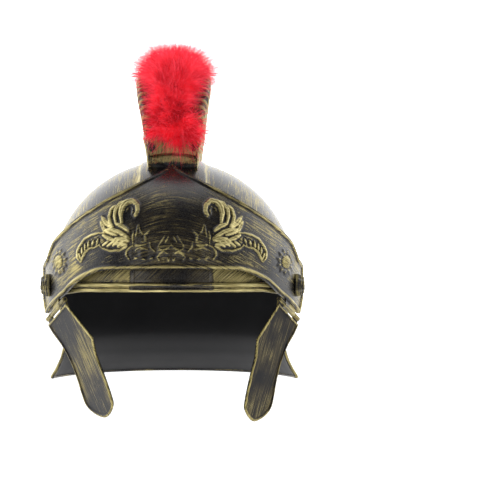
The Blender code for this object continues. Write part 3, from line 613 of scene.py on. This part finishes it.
def stroke_place(u, v, line):
    """Distance of each place from a line, and how far along the line its nearest point is, from 0 to 1."""
    line = list(zip(line[::2], line[1::2]))
    steps = np.hypot(*np.diff(np.array(line, float), axis=0).T)
    begun = join([[0], np.cumsum(steps)]) / steps.sum()
    best, along = np.full(u.shape, 1e9), np.zeros(u.shape)
    for i, ((ax, ay), (bx, by)) in enumerate(zip(line[:-1], line[1:])):
        length = (bx - ax) ** 2 + (by - ay) ** 2
        share = np.clip(((u - ax) * (bx - ax) + (v - ay) * (by - ay)) / length, 0, 1)
        away = np.hypot(u - ax - share * (bx - ax), v - ay - share * (by - ay))
        along = np.where(away < best, begun[i] + (begun[i + 1] - begun[i]) * share, along)
        best = np.minimum(best, away)
    return best, along


def ornament(x, z, depth):
    """Height of the ornament, distance from its strokes, and their gold, on either half of the visor."""
    scale = PX_MM * (VIEW_DISTANCE + depth) / VIEW_DISTANCE
    u = (MIRROR_PX + np.abs(x) / scale - DRAW_CORNER[0]) * DRAW_SCALE
    v = (LEVEL_PX - (z - VIEW_Z) / scale - DRAW_CORNER[1]) * DRAW_SCALE
    height, body, crest = np.zeros((3, *x.shape))
    for half, rise, gold, line in BODIES:
        soft = (-0.6, 1.2) if gold else (-4, 4)
        inside = ramp(half - stroke_place(u, v, line)[0], *soft)
        height = np.maximum(height, rise * inside)
        body = np.maximum(body, gold * inside)
    base = height.copy()
    near = np.full(x.shape, 1e9)
    for half, rise, line in ((*size, line) for size, lines in STROKES.items() for line in lines):
        away, along = stroke_place(u, v, line)
        taper = half * (0.62 + 0.52 * np.sin(math.pi * along) ** 0.8)
        near = np.minimum(near, away - taper)
        profile = np.clip(1 - (away / taper) ** 2, 0, None)
        vein = (half > 1.8) * bump(away, 0, 0.34 * half) * np.sin(math.pi * along)
        crest = np.maximum(crest, profile * (1 - 0.75 * vein))
        height = np.maximum(height, base + 0.8 * rise * profile ** 0.6 * (1 - 0.4 * vein))
    groove = bump(near, 0.75, 0.9) * (body > 0.1)
    return height - 0.5 * groove, near, 0.75 * body - 0.75 * groove + 0.54 * ramp(crest, 0.2, 0.9)


def rosette_height(angle, z):
    """A lobed boss with two rings of petals round a button: its height, and the distance from its middle."""
    (middle, level), (wide, tall), lobes = ROSETTE
    a = (np.abs(angle) - middle) * DEGREE * ROSETTE_ARC / wide
    b = (z - level) / tall
    r = np.hypot(a, b)
    turned = np.arctan2(b, a)
    outer = 1.02 + 0.12 * np.cos(lobes * turned)
    petals = np.sqrt(np.clip(1 - (r / outer) ** 4, 0, None)) * (0.72 + 0.28 * np.cos(lobes * turned) ** 2)
    inner_edge = 0.58 + 0.07 * np.cos(lobes * turned + 1.5)
    inner = np.sqrt(np.clip(1 - (r / inner_edge) ** 2, 0, None)) * (0.8 + 0.3 * np.cos(lobes * turned + 1.5))
    button = np.sqrt(np.clip(1 - (r / 0.24) ** 2, 0, None))
    rim = np.exp(-(((r - 0.62) / 0.09) ** 2))
    return 1.5 * petals - 0.9 * rim * (r < 0.9) + 0.8 * inner + 0.7 * button, r


def visor_grid(columns, rows):
    """Angle and height over the visor's band, the share down it, and the distance from its ends."""
    knots = np.arange(6)
    arc = np.array([0, 63, 105, 136, 147, 168.0])
    key = np.interp(np.linspace(0, arc[-1], columns), arc, knots)
    top_angle, top_z, low_angle, low_z = (np.interp(key, knots, edge[column]) for edge in (VISOR_TOP, VISOR_LOW)
                                          for column in ("angle", "z"))
    low_z = np.where(key < 3, curve(key, {"key": knots, "z": VISOR_LOW["z"]}, "key", "z"), low_z)
    share = np.linspace(0, 1, rows)[:, None]
    angle = top_angle + (low_angle - top_angle) * share
    z = top_z + (low_z - top_z) * share
    angle = join([-angle[:, :0:-1], angle], 1)
    z = join([z[:, :0:-1], z], 1)
    from_end = arc[-1] * (1 - np.abs(np.linspace(-1, 1, 2 * columns - 1)))
    return angle, z, np.broadcast_to(share, angle.shape), from_end


def make_visor(outside, inside):
    angle, z, share, from_end = visor_grid(206, 100)
    flat = visor_point(angle, z)
    lengths = np.linalg.norm(np.diff(flat, axis=0), axis=2).sum(0)
    up = (1 - share) * lengths
    x = flat[..., 0]
    relief, near, drawn = ornament(x, z, flat[..., 1])
    boss, spread = rosette_height(angle, z)
    relief = np.maximum(relief, boss * (spread < 1.2))
    top = np.minimum(share * lengths, from_end)
    lip = 1 - ramp(top, 3.1, 4.0) + 0.7 * np.sqrt(bump(top, 0.9, 0.9)) + 0.6 * np.sqrt(bump(top, 2.8, 0.8))
    rim = np.maximum(lip * (top < 4.2), 1.9 * np.sqrt(bump(up, 2.0, 2.0)))
    rise = rim + relief * (np.minimum(top, up) > 3.5)
    raised = relief > 0.05
    ground = np.clip(1 - near / 3.5, 0, 1) * ~raised
    flank = ramp(np.abs(x), 22, 55)
    gold = 0.10 + 0.18 * flank - 0.55 * ground
    gold = np.where(drawn != 0, np.where(raised, 0.06 + 0.1 * flank, gold) + drawn, gold)
    gold = gold + (0.50 * ramp(boss, 0.7, 1.4) - 0.12) * (spread < 1.1) - 0.4 * bump(spread, 1.15, 0.15)
    gold = gold + 0.45 * bump(top, 2.8, 0.8) + 0.10 * bump(top, 0.9, 0.9) + 0.42 * bump(up, 2.2, 1.5)
    gold = gold - 0.4 * (bump(top, 4.6, 1.2) + bump(up, 5.4, 1.6))
    arc = np.radians(angle) * VISOR_ARC
    flow = triples(arc, z + 0.5 * np.hypot(arc, 30))
    outer, inner = visor_point(angle, z, rise), visor_point(angle, z, -WALL)
    sheets = Sheets()
    sheets.add(outer, flow, gold, flip=True)
    sheets.add(inner[::3, ::3], slot=1)
    for edge, flip in ((np.s_[0], False), (np.s_[:, 0], True), (np.s_[-1], True), (np.s_[:, -1], False)):
        sheets.add(np.stack([outer[edge], inner[edge]]), flow[edge], gold[edge], flip=flip)
    visor = sheets.build("visor_band", [outside, inside])
    fittings = join_pieces("visor_fittings", visor_fittings(), [outside])
    for piece in (visor, fittings):
        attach(piece, "visor")
    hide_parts("visor")


def collar_notch(turned, radius, lift):
    """Eight sides, with a dip in the middle of every second one."""
    face = (turned + math.pi / 8) % (math.pi / 4) - math.pi / 8
    radius = np.where(radius > 6, radius * math.cos(math.pi / 8) / np.cos(face) * 1.04, radius)
    dip = np.clip(np.cos(2 * (turned - math.pi / 4)) ** 2 - 0.86, 0, None) / 0.14
    dip = np.where((radius > 6.0) & (radius < 9.3), dip, 0)
    return radius, lift - 1.3 * dip


def visor_fittings():
    pieces = []
    for side in (1, -1):
        hinge = hinge_frame(side)
        pieces += [turned_post(side, COLLAR, 64, collar_notch), turned_post(side, VISOR_PAD),
                   box_piece(hinge, (-12.5, -1.8, 0), (12.5, 0.2, 9)), bar_piece(hinge, KNUCKLE_RADIUS, -13, 13)]
    return pieces


# Cheek guards
def hinge_frame(side, swing=0.0):
    x, y, z = HINGE_MIDDLE
    along = Vector((side * HINGE_DIRECTION[0], HINGE_DIRECTION[1], HINGE_DIRECTION[2])).normalized()
    up = (Vector((0, 0, 1)) - along * along.z).normalized()
    inward = side * up.cross(along)
    angle = math.radians(swing)
    lift = up * math.cos(angle) - inward * math.sin(angle)
    through = inward * math.cos(angle) + up * math.sin(angle)
    turn = Matrix((side * along, through, lift)).transposed().to_4x4()
    return Matrix.Translation(Vector((side * x, y, z)) * MM) @ turn


def guard_outline():
    """The guard's outline bent smoothly through its points, with corners kept at its hinge."""
    points = np.array([GUARD["across"], GUARD["down"]], float).T
    after = np.roll(points, -1, 0)
    slope = (after - np.roll(points, 1, 0)) / 2
    slope[list(GUARD_CORNERS)] = 0
    t = np.array([0, 0.25, 0.5, 0.75])[:, None]
    bent = slope[:, None] * t * (1 - t) ** 2 - np.roll(slope, -1, 0)[:, None] * t * t * (1 - t)
    return (points[:, None] + (after - points)[:, None] * (t * t * (3 - 2 * t)) + bent).reshape(-1, 2)


# Distances inwards from the guard's edge with the height and the gold there
GUARD_PROFILE = ((0.0, 0.0, 0.5), (0.4, 0.65, 0.75), (1.1, 1.0, 0.7), (2.0, 1.0, 0.45), (2.5, 0.4, -0.1),
                 (2.9, 0.0, -0.2), (4.2, 0.0, 0.22))


def inset(outline, reach):
    """The outline moved inwards, every point kept that far from all its edges."""
    ahead = unit(np.roll(outline, -1, 0) - outline)
    across = np.stack([-ahead[:, 1], ahead[:, 0]], -1)
    inward = unit(across + np.roll(across, 1, 0))
    area = (outline[:, 0] * np.roll(outline[:, 1], -1) - outline[:, 1] * np.roll(outline[:, 0], -1)).sum()
    moved = outline + math.copysign(0.05, area) * inward
    a, b = outline[None], np.roll(outline, -1, 0)[None]
    for part in np.linspace(0.02, 1, 50).repeat(3) * reach:
        share = ((moved[:, None] - a) * (b - a)).sum(-1) / ((b - a) ** 2).sum(-1)
        near = a + np.clip(share, 0, 1)[..., None] * (b - a)
        away = np.linalg.norm(moved[:, None] - near, axis=-1)
        closest = away.argmin(1)
        gap = away[np.arange(len(moved)), closest]
        push = moved - near[np.arange(len(moved)), closest]
        moved = moved + unit(push) * np.clip(part - gap, 0, None)[:, None]
    return moved


def make_guard(side, word, outside):
    matrix = hinge_frame(side, REST_SWING[word])
    outline = guard_outline()
    work = bmesh.new()
    verts = [work.verts.new((side * across, -1.0 - height, -down)) for reach, height, _ in GUARD_PROFILE
             for across, down in (inset(outline, reach) if reach else outline)]
    for face in quads(len(GUARD_PROFILE), len(outline), True):
        work.faces.new([verts[i] for i in face])
    work.faces.new(verts[-len(outline):])
    bmesh.ops.recalc_face_normals(work, faces=work.faces)
    if max(work.faces, key=lambda face: face.calc_area()).normal.y > 0:
        bmesh.ops.reverse_faces(work, faces=work.faces)
    local = np.array([vert.co for vert in work.verts])
    mesh = bpy.data.meshes.new("guard_plate_" + word)
    work.to_mesh(mesh)
    work.free()
    gold = np.repeat([level[2] for level in GUARD_PROFILE], len(outline))
    add_numbers(mesh, local[:, [2, 0, 1]], gold)
    mesh.transform(matrix @ Matrix.Scale(MM, 4))
    mesh.shade_smooth()
    max(mesh.polygons, key=lambda face: face.area).use_smooth = False
    mesh.set_sharp_from_angle(angle=math.radians(38))
    plate = finish_mesh("cheek_guard_plate_" + word, mesh, [outside])
    wall = plate.modifiers.new("wall", "SOLIDIFY")
    wall.thickness = WALL * MM
    wall.offset = -1
    pieces = []
    for low, high in ((-25, -14), (14, 25)):
        pieces += [box_piece(matrix, (low + 0.5, -0.9, -6), (high - 0.5, 0.9, 0)),
                   bar_piece(matrix, KNUCKLE_RADIUS, low, high)]
    ears = join_pieces("cheek_guard_ears_" + word, pieces, [outside])
    for piece in (plate, ears):
        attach(piece, "cheek_" + word)
    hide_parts("cheek_guard_" + word)


# Crest holder
def comb_base(x, turn):
    """Radius of the dome's strip, and a hair over it."""
    turned = np.radians(turn)
    dome = 1 / np.hypot(np.cos(turned) / DOME[1], np.sin(turned) / DOME[2])
    return np.sqrt(1 - (x / DOME[0]) ** 2) * (dome + STRIP_RISE) + 0.3


def polar_point(x, turn, radius):
    turned = np.radians(turn)
    return triples(x, -radius * np.cos(turned), EQUATOR_Z + radius * np.sin(turned))


def comb_side_heights():
    """Heights of the lines along the side of a full-sized holder: moulding, scroll strip, line, dentils and gap."""
    moulding, scroll = [0, 1.5, 3.2, 4.6, 5.6, 6.1], np.linspace(6.6, 15.4, 13)
    return join([moulding, scroll, [15.9, 16.5, 17.1, 17.6, 18.2, 19.5, 21, 22.4, 23.1, 23.8, 24.8, 25.6]])


SCROLL_PITCH = 17.0
SCROLL_LOW, SCROLL_MIDDLE, SCROLL_TOP, LINE_HEIGHT = 6.3, 11.0, 15.9, 16.5
# Half width and points of the scroll strip's bars, hooks and dots within one pitch
SCROLL_BARS = (
    (1.1, (1.2, -3.2, 4.2, -3.5, 6.8, -1.9, 6.2, 0.6)),
    (1.1, (2.0, 0.2, 4.0, 2.6, 7.4, 3.4)),
    (1.0, (9.3, -3.4, 10.4, -0.6, 9.4, 3.3)),
    (1.1, (12.2, 3.3, 14.6, 2.0, 15.6, -0.6, 13.6, -3.2, 11.9, -2.0)),
    (1.0, (12.4, 0.6, 12.6, 0.7)),
    (0.9, (7.9, 0.6, 8.0, 0.7)),
)


def scroll_relief(along, above):
    """Raised bars, hooks and dots in the band over the moulding, repeated along it."""
    share = (along + 5000) / SCROLL_PITCH
    cell = np.floor(share)
    u = (share - cell) * SCROLL_PITCH
    v = (above - SCROLL_MIDDLE) * np.where(cell % 2 == 0, 1.0, -1.0)
    height = np.zeros(u.shape)
    for half, line in SCROLL_BARS:
        height = np.maximum(height, np.clip(1 - (stroke_place(u, v, line)[0] / half) ** 2, 0, None) ** 0.6)
    return height


def rib_wave(turn, lean):
    """1 on a rib and 0 in the groove beside it."""
    phase = (turn - COMB_ENDS[0]) / (COMB_ENDS[1] - COMB_ENDS[0]) * RIBS + lean
    return ramp(0.5 + 0.5 * np.cos(2 * math.pi * phase), 0.12, 0.8)


def comb_half_section(turn):
    """X, turn, radius, gold and flow, from the foot up the side and over to the middle of the top."""
    turn = turn[:, None]
    height, top_half = (linear(turn, COMB, "angle", column) for column in ("height", "half"))
    size = np.minimum(1, height / BANDS_HEIGHT)
    shoulder = SHOULDER * size
    low = comb_side_heights()[None, :] * size
    bands_top = low[:, -1:]
    side = bands_top + (height - shoulder - bands_top) * np.linspace(0, 1, 16)[None, 1:]
    turned = np.radians(np.linspace(0, 90, 10)[None, 1:])
    arc_up = height - shoulder + shoulder * np.sin(turned)
    arc_in = shoulder * 0.62 * (1 - np.cos(turned))
    top_x = (top_half - 0.62 * shoulder) * np.linspace(1, 0, 12)[None, 1:]
    above = join([low, side, arc_up, height + 0 * top_x], 1)
    full = above / size
    half = COMB_BASE_HALF + (top_half - COMB_BASE_HALF) * above / height
    x = half.copy()
    start = low.shape[1] + side.shape[1]
    bend, top = np.s_[:, start:start + 9], np.s_[:, start + 9:]
    x[bend] = half[bend] - arc_in
    x[top] = top_x
    crown = CROWN_RISE * (1 - (x / top_half) ** 2) * ramp(above, height - 0.5 * shoulder, height)
    along = turn * DEGREE * (COMB_ARC + full)
    on_side = full < 26
    moulding = MOULDING_RISE * (full <= SCROLL_LOW) * (0.75 + 0.25 * np.sqrt(bump(full, 3, 3.2)))
    scroll = 1.15 * scroll_relief(along, full) * (full > SCROLL_LOW) * (full < SCROLL_TOP)
    line = bump(full, LINE_HEIGHT, 0.9)
    dentils = 1.2 * rib_wave(turn, 0) * ramp(full, 17.2, 18.0) * (1 - ramp(full, 22.4, 23.4))
    recess = -0.6 * ramp(full, 23.3, 24.2) * (1 - ramp(full, 25.0, 26.0))
    x = x + (moulding + scroll + 1.3 * line + dentils + recess) * on_side * size
    portion = np.clip((above - bands_top) / (height - bands_top), 0, 1)
    wave = rib_wave(turn, 0.85 * portion + 0.28 * np.sin(portion * 2 * math.pi))
    at_foot = 1 - ramp(turn, 64.5, 68.0)
    fluted = ramp(x, (0.34 + 0.3 * at_foot) * top_half, (0.62 + 0.25 * at_foot) * top_half) * ramp(full, 25.0, 27.5)
    groove = (1 - wave) * fluted * RIB_DEPTH * size
    tilt = np.zeros(above.shape)
    tilt[bend] = turned
    tilt[top] = math.pi / 2
    x = x - groove * np.cos(tilt)
    above = above + crown - groove * np.sin(tilt)
    lean = COMB_LEAN * np.minimum(1, above / height) ** 2
    radius = comb_base(COMB_BASE_HALF, turn) + above
    gold = np.where(full < SCROLL_LOW, 0.62, 0.0) + 0.85 * np.clip(scroll, 0, 1) + 0.8 * line
    gold = gold + dentils * 0.55 + np.where((full > SCROLL_LOW) & (full < SCROLL_TOP), -0.25, 0)
    gold = gold + fluted * (0.95 * wave - 0.45) + (1 - fluted) * (full > 27) * (0.25 + 0.3 * at_foot)
    on_top = tilt > 1.5
    flow_along = np.where(on_top | (full < 17), along, above)
    flow_across = np.where(on_top, x, np.where(full < 17, full, along))
    return x, turn + lean, radius, gold, triples(flow_along, flow_across)


def make_comb(outside):
    turns = np.linspace(*COMB_ENDS, RIBS * 8 + 1)
    x, turn, radius, gold, flow = comb_half_section(turns)
    right = polar_point(x, turn, radius)
    points = join([right, right[:, -2::-1] * (-1, 1, 1)], 1)
    gold, flow = (join([number, number[:, -2::-1]], 1) for number in (gold, flow))
    sheets = Sheets()
    sheets.add(points, flow, gold)
    inner = np.linspace(COMB_BASE_HALF + 1, -COMB_BASE_HALF - 1, 9)[None, :]
    foot = polar_point(inner, turns[:, None], comb_base(inner, turns[:, None]))
    sheets.add(foot, flip=True)
    for row, flip in ((0, False), (-1, True)):
        end = points[row]
        middle = (0, *foot[row, 4, 1:])
        cap = np.stack([end + (middle - end) * share for share in (0.0, 0.25, 0.5, 0.75, 0.97)])
        cap_gold = 0.8 * ramp(cap[..., 2] - middle[2], 2.0, 4.5) - 0.3
        sheets.add(cap, triples(cap[..., 2], cap[..., 0]), cap_gold, flip=flip)
    comb = sheets.build("crest_holder_ribbed", [outside])
    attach(comb, "helmet")
    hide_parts("crest_holder")


# Plume: how wide its tufts root, how long they are and how far they stand aside, at angles over the crown
FUR = {
    "angle": (62.0, 64, 67, 70, 76, 83, 90, 120, 150, 165),
    "half": (20.0, 25, 22, 18, 18, 20, 20, 18, 13, 10),
    "long": (11.0, 13, 14, 15, 18, 27, 34, 23, 13, 9),
    "aside": (0.5, 0.0, -1.0, -1.0, 0.0, 0.5, -0.5, -0.5, 0.0, 0.0),
}
# How far behind and how high the fibres may reach
FUR_LIMIT = (174.0, 110.5)
# The front tufts' last angle, the height of the roots over the crown and the share of the width that they fill
FUR_FRONT, FUR_GAP, FUR_CORE = 66.5, 0.5, 0.62
TUFTS = 1900
FIBRES = 62
FUR_PIECES = "abc"


def crown(x, turn):
    height, half = (linear(turn, COMB, "angle", column) for column in ("height", "half"))
    return comb_base(COMB_BASE_HALF, turn) + height + CROWN_RISE * (1 - np.clip(x / half, -1, 1) ** 2)


def fur_roots():
    """Roots of the tufts on the crown, the way out from it there and each tuft's length."""
    turn = RNG.uniform(63.0, 166, TUFTS)
    wide, tall, middle = (linear(turn, FUR, "angle", column) for column in ("half", "long", "aside"))
    share = RNG.uniform(-1, 1, TUFTS)
    x = middle + share * wide * FUR_CORE
    radius = crown(x, turn) + FUR_GAP
    root = polar_point(x, turn + COMB_LEAN, radius)
    out = unit(polar_point(0.0, turn, 1.0) - polar_point(0.0, turn, 0.0))
    rise = crown(0, turn + 0.5) - crown(0, turn - 0.5)
    ahead, back = (polar_point(0.0, turn + half, radius + half * rise) for half in (0.5, -0.5))
    ahead = unit(ahead - back)
    out = unit(out - ahead * (out * ahead).sum(-1, keepdims=True))
    sideways = 1.25 - 0.65 * ramp(turn, 78, 88)
    way = out * (1.08 - np.abs(share)[:, None] * 0.55) + triples(share * sideways, 0.0)
    way = way + RNG.normal(0, 0.42, (TUFTS, 3)) - ahead * (0.08 + 0.4 * (turn < FUR_FRONT))[:, None]
    long = tall * RNG.uniform(0.62, 1.34, TUFTS)
    long = long * (1 + (turn < FUR_FRONT) * (0.3 * RNG.random(TUFTS) + 0.7 * bump(x, 10, 8)))
    long = long * (1 - 0.28 * share**2 * ramp(turn, 78, 88))
    return root, unit(way), out, long


def fur_strands(root, way, out, long):
    """Curved tapering fibres of the tufts as points of shape (fibres, 4, 3) with widths."""
    count = len(root) * FIBRES
    base = np.repeat(root, FIBRES, 0) + RNG.normal(0, 0.7, (count, 3))
    lean = unit(np.repeat(way, FIBRES, 0) + RNG.normal(0, 0.42, (count, 3)))
    out = np.repeat(out, FIBRES, 0)
    lean = unit(lean + out * np.clip(0.12 - (lean * out).sum(-1), 0, None)[:, None])
    reach = np.repeat(long, FIBRES) * RNG.beta(4.0, 2.2, count) * 1.25
    wild = RNG.random(count) < 0.03
    reach = np.where(wild, reach * 1.5, reach)
    bend = RNG.normal(0, 0.22, (count, 3)) - out * 0.12 + (0, 0, -0.10)
    tip = base + reach[:, None] * (lean + bend)
    room = ((FUR_LIMIT - base[:, 1:]) / np.maximum(tip[:, 1:] - base[:, 1:], 1e-6)).min(1)
    reach = reach * np.where(room < 1, room * RNG.uniform(0.85, 1, count), 1)
    points = np.stack([base + reach[:, None] * (lean * t + bend * t**2) for t in (0.0, 0.35, 0.7, 1.0)], 1)
    side = unit(np.cross(lean, RNG.normal(0, 1, (count, 3))))
    width = np.where(wild, 0.13, 0.15) * RNG.uniform(0.7, 1.35, count)
    return points, side, width


def build_fur(name, points, side, width, materials):
    """Every fibre is two quads and a tip, with its place along the fibre carried as a number."""
    count = len(points)
    spread = side[:, None] * width[:, None, None]
    pairs = [points[:, i, None] + spread * np.array([[-t], [t]])[None] for i, t in enumerate((1.0, 0.85, 0.55))]
    verts = join([*pairs, points[:, 3:4]], 1).reshape(-1, 3)
    first = np.arange(count)[:, None] * 7
    loops = (first + np.array([[0, 1, 3, 2, 2, 3, 5, 4, 4, 5, 6]])).ravel()
    along = np.tile([0.0, 0, 0.35, 0.35, 0.7, 0.7, 1.0], count)
    mesh = new_mesh(name, verts, loops, np.tile([4, 4, 3], count), np.zeros((len(verts), 3)), along)
    mesh.shade_smooth()
    return finish_mesh(name, mesh, materials)


def fur_core(materials):
    """The plush backing from which the fibres grow; its darker red finish is painted shade deep in the plume."""
    turns = np.linspace(64, 164, 90)[:, None]
    turned = full_turn(24)
    wide, tall, middle = (linear(turns, FUR, "angle", column) for column in ("half", "long", "aside"))
    x = middle + FUR_CORE * wide * np.cos(turned)
    radius = crown(x, turns) + FUR_GAP + 0.42 * tall * np.clip(np.sin(turned), 0, None)
    points = polar_point(x, turns + COMB_LEAN, radius)
    sheets = Sheets()
    sheets.add(points, gold=0.05, around=True)
    return sheets.build("plume_backing", materials)


def make_fur(finish, shaded_backing_finish):
    root, way, out, long = fur_roots()
    points, side, width = fur_strands(root, way, out, long)
    order = RNG.permutation(len(points))
    pieces = [fur_core([shaded_backing_finish])]
    for letter, chosen in zip(FUR_PIECES, np.array_split(order, len(FUR_PIECES))):
        pieces.append(build_fur("plume_fibres_" + letter, points[chosen], side[chosen], width[chosen], [finish]))
    for piece in pieces:
        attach(piece, "helmet")
    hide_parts("plume")


# Studio
CAMERA_PLACE, CAMERA_AIM = (0.028, -1.6, -0.077), (0.067, 0.0, -0.077)
LENS = 130.9
# Name, place, size and power of each light, and where they aim
LIGHTS = (
    ("left_softbox", (-1.1, 0.0, 0.35), (1.1, 1.1), 10),
    ("right_softbox", (1.1, 0.0, 0.35), (1.1, 1.1), 7),
    ("front_left", (-1.0, -1.5, 0.5), (0.35, 0.8), 5.5),
    ("front_right", (1.0, -1.5, 0.5), (0.35, 0.8), 2.2),
    ("over", (0.0, 0.1, 1.2), (0.8, 0.5), 2),
)
LIGHT_AIM = (0, 0, -0.08)
# From how far in front to how far behind the surroundings brighten, and from which strength to which
WORLD_LIGHT = (-0.10, 0.62, 0.02, 2.6)
FLOOR_Z, FLOOR_HALF = -0.36, 6.0


def stand(name, data, place_at, aim):
    """An object at its place, looking at its aim."""
    made = bpy.data.objects.new(name, data)
    bpy.context.scene.collection.objects.link(made)
    made.location = place_at
    made.rotation_euler = (Vector(aim) - Vector(place_at)).to_track_quat("-Z", "Y").to_euler()
    return made


def make_camera():
    data = bpy.data.cameras.new("camera")
    data.lens = LENS
    data.sensor_width = 36
    bpy.context.scene.camera = stand("camera", data, CAMERA_PLACE, CAMERA_AIM)


def make_world():
    """White all round for the eye; for the light, white behind and beside and darker in front."""
    n = Nodes("studio", "worlds")
    bpy.context.scene.world = n.owner
    way = n.add("SeparateXYZ", (n.add("TexCoord").outputs["Generated"],)).outputs["Y"]
    seen = n.add("LightPath").outputs["Is Camera Ray"]
    back = n.tree.nodes["Background"]
    n.put(back.inputs["Color"], (1, 1, 1, 1))
    n.put(back.inputs["Strength"], n.math("MAXIMUM", n.span(way, *WORLD_LIGHT), seen))


def make_floor():
    n = Nodes("pale_floor")
    cloud = n.noise(n.place(), 3.0, 2.0, 0.5)
    n.shade(Base_Color=n.mix(cloud, (0.80, 0.80, 0.80, 1), (0.83, 0.83, 0.83, 1)), Roughness=0.9,
            Emission_Color=(1, 1, 1, 1), Emission_Strength=0.42)
    sheets = Sheets()
    side = np.linspace(-FLOOR_HALF, FLOOR_HALF, 7) / MM
    x, y = np.meshgrid(side, side)
    sheets.add(triples(x, y, FLOOR_Z / MM))
    floor = sheets.build("floor", [n.owner])


def make_lights():
    for name, place_at, size, power in LIGHTS:
        data = bpy.data.lights.new(name, "AREA")
        data.shape = "RECTANGLE"
        data.size, data.size_y = size
        data.energy = power
        stand(name, data, place_at, LIGHT_AIM)


def dress_nodes(metal, plastic):
    """New finishes for the CAD solids that stay in sight: screws and hinge pins."""
    for name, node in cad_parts.items():
        if name.startswith(("pivot_screw", "hinge_pin")):
            finish = metal if name.startswith("pivot") else plastic
            if not node.material_slots:
                node.data.materials.append(finish)
            for slot in node.material_slots:
                slot.material = finish


def main():
    shell_gold = brushed_gold("shell_brushed_gold", 0.58)
    visor_gold = brushed_gold("visor_brushed_gold", 0.62, 0.036, 0.74)
    comb_gold = brushed_gold("crest_brushed_gold", 0.66, 0.05, 0.8)
    # One finish in two copies: the left guard's has less and duller gold as painted shade, the right guard's more
    # and brighter gold as painted light.
    guard_gold_lit_and_shaded = {
        "left": brushed_gold("guard_left_gold_painted_shade", 0.38, 0.025, 0.8, 0.40, 0.6, 0.02),
        "right": brushed_gold("guard_right_gold_painted_light", 0.52, 0.025, 0.8, 0.36, 0.8, 0.10),
    }
    inside = matt_black("matt_inside")
    make_shell(shell_gold, inside)
    make_visor(visor_gold, inside)
    make_comb(comb_gold)
    for side, word in ((1, "left"), (-1, "right")):
        make_guard(side, word, guard_gold_lit_and_shaded[word])
    # The fibres' finish holds painted light and shade: paler tips, darker clumps and a faint glow.
    fur = red_fur("marabou_red_painted_light_and_shade", (0.98, 0.016, 0.040, 1), (1.0, 0.12, 0.18, 1), (0.62, 0.003, 0.016, 1))
    # The backing's darker red is painted shade deep in the plume; it shares the fibres' painted glow.
    backing = red_fur("plume_backing_red_painted_shade", (0.45, 0.006, 0.015, 1), (0.6, 0.02, 0.03, 1), (0.35, 0.002, 0.010, 1))
    make_fur(fur, backing)
    dress_nodes(screw_metal("zinc_screw"), comb_gold)
    make_camera()
    make_world()
    make_floor()
    make_lights()
    bpy.context.scene.view_settings.view_transform = "Standard"


main()
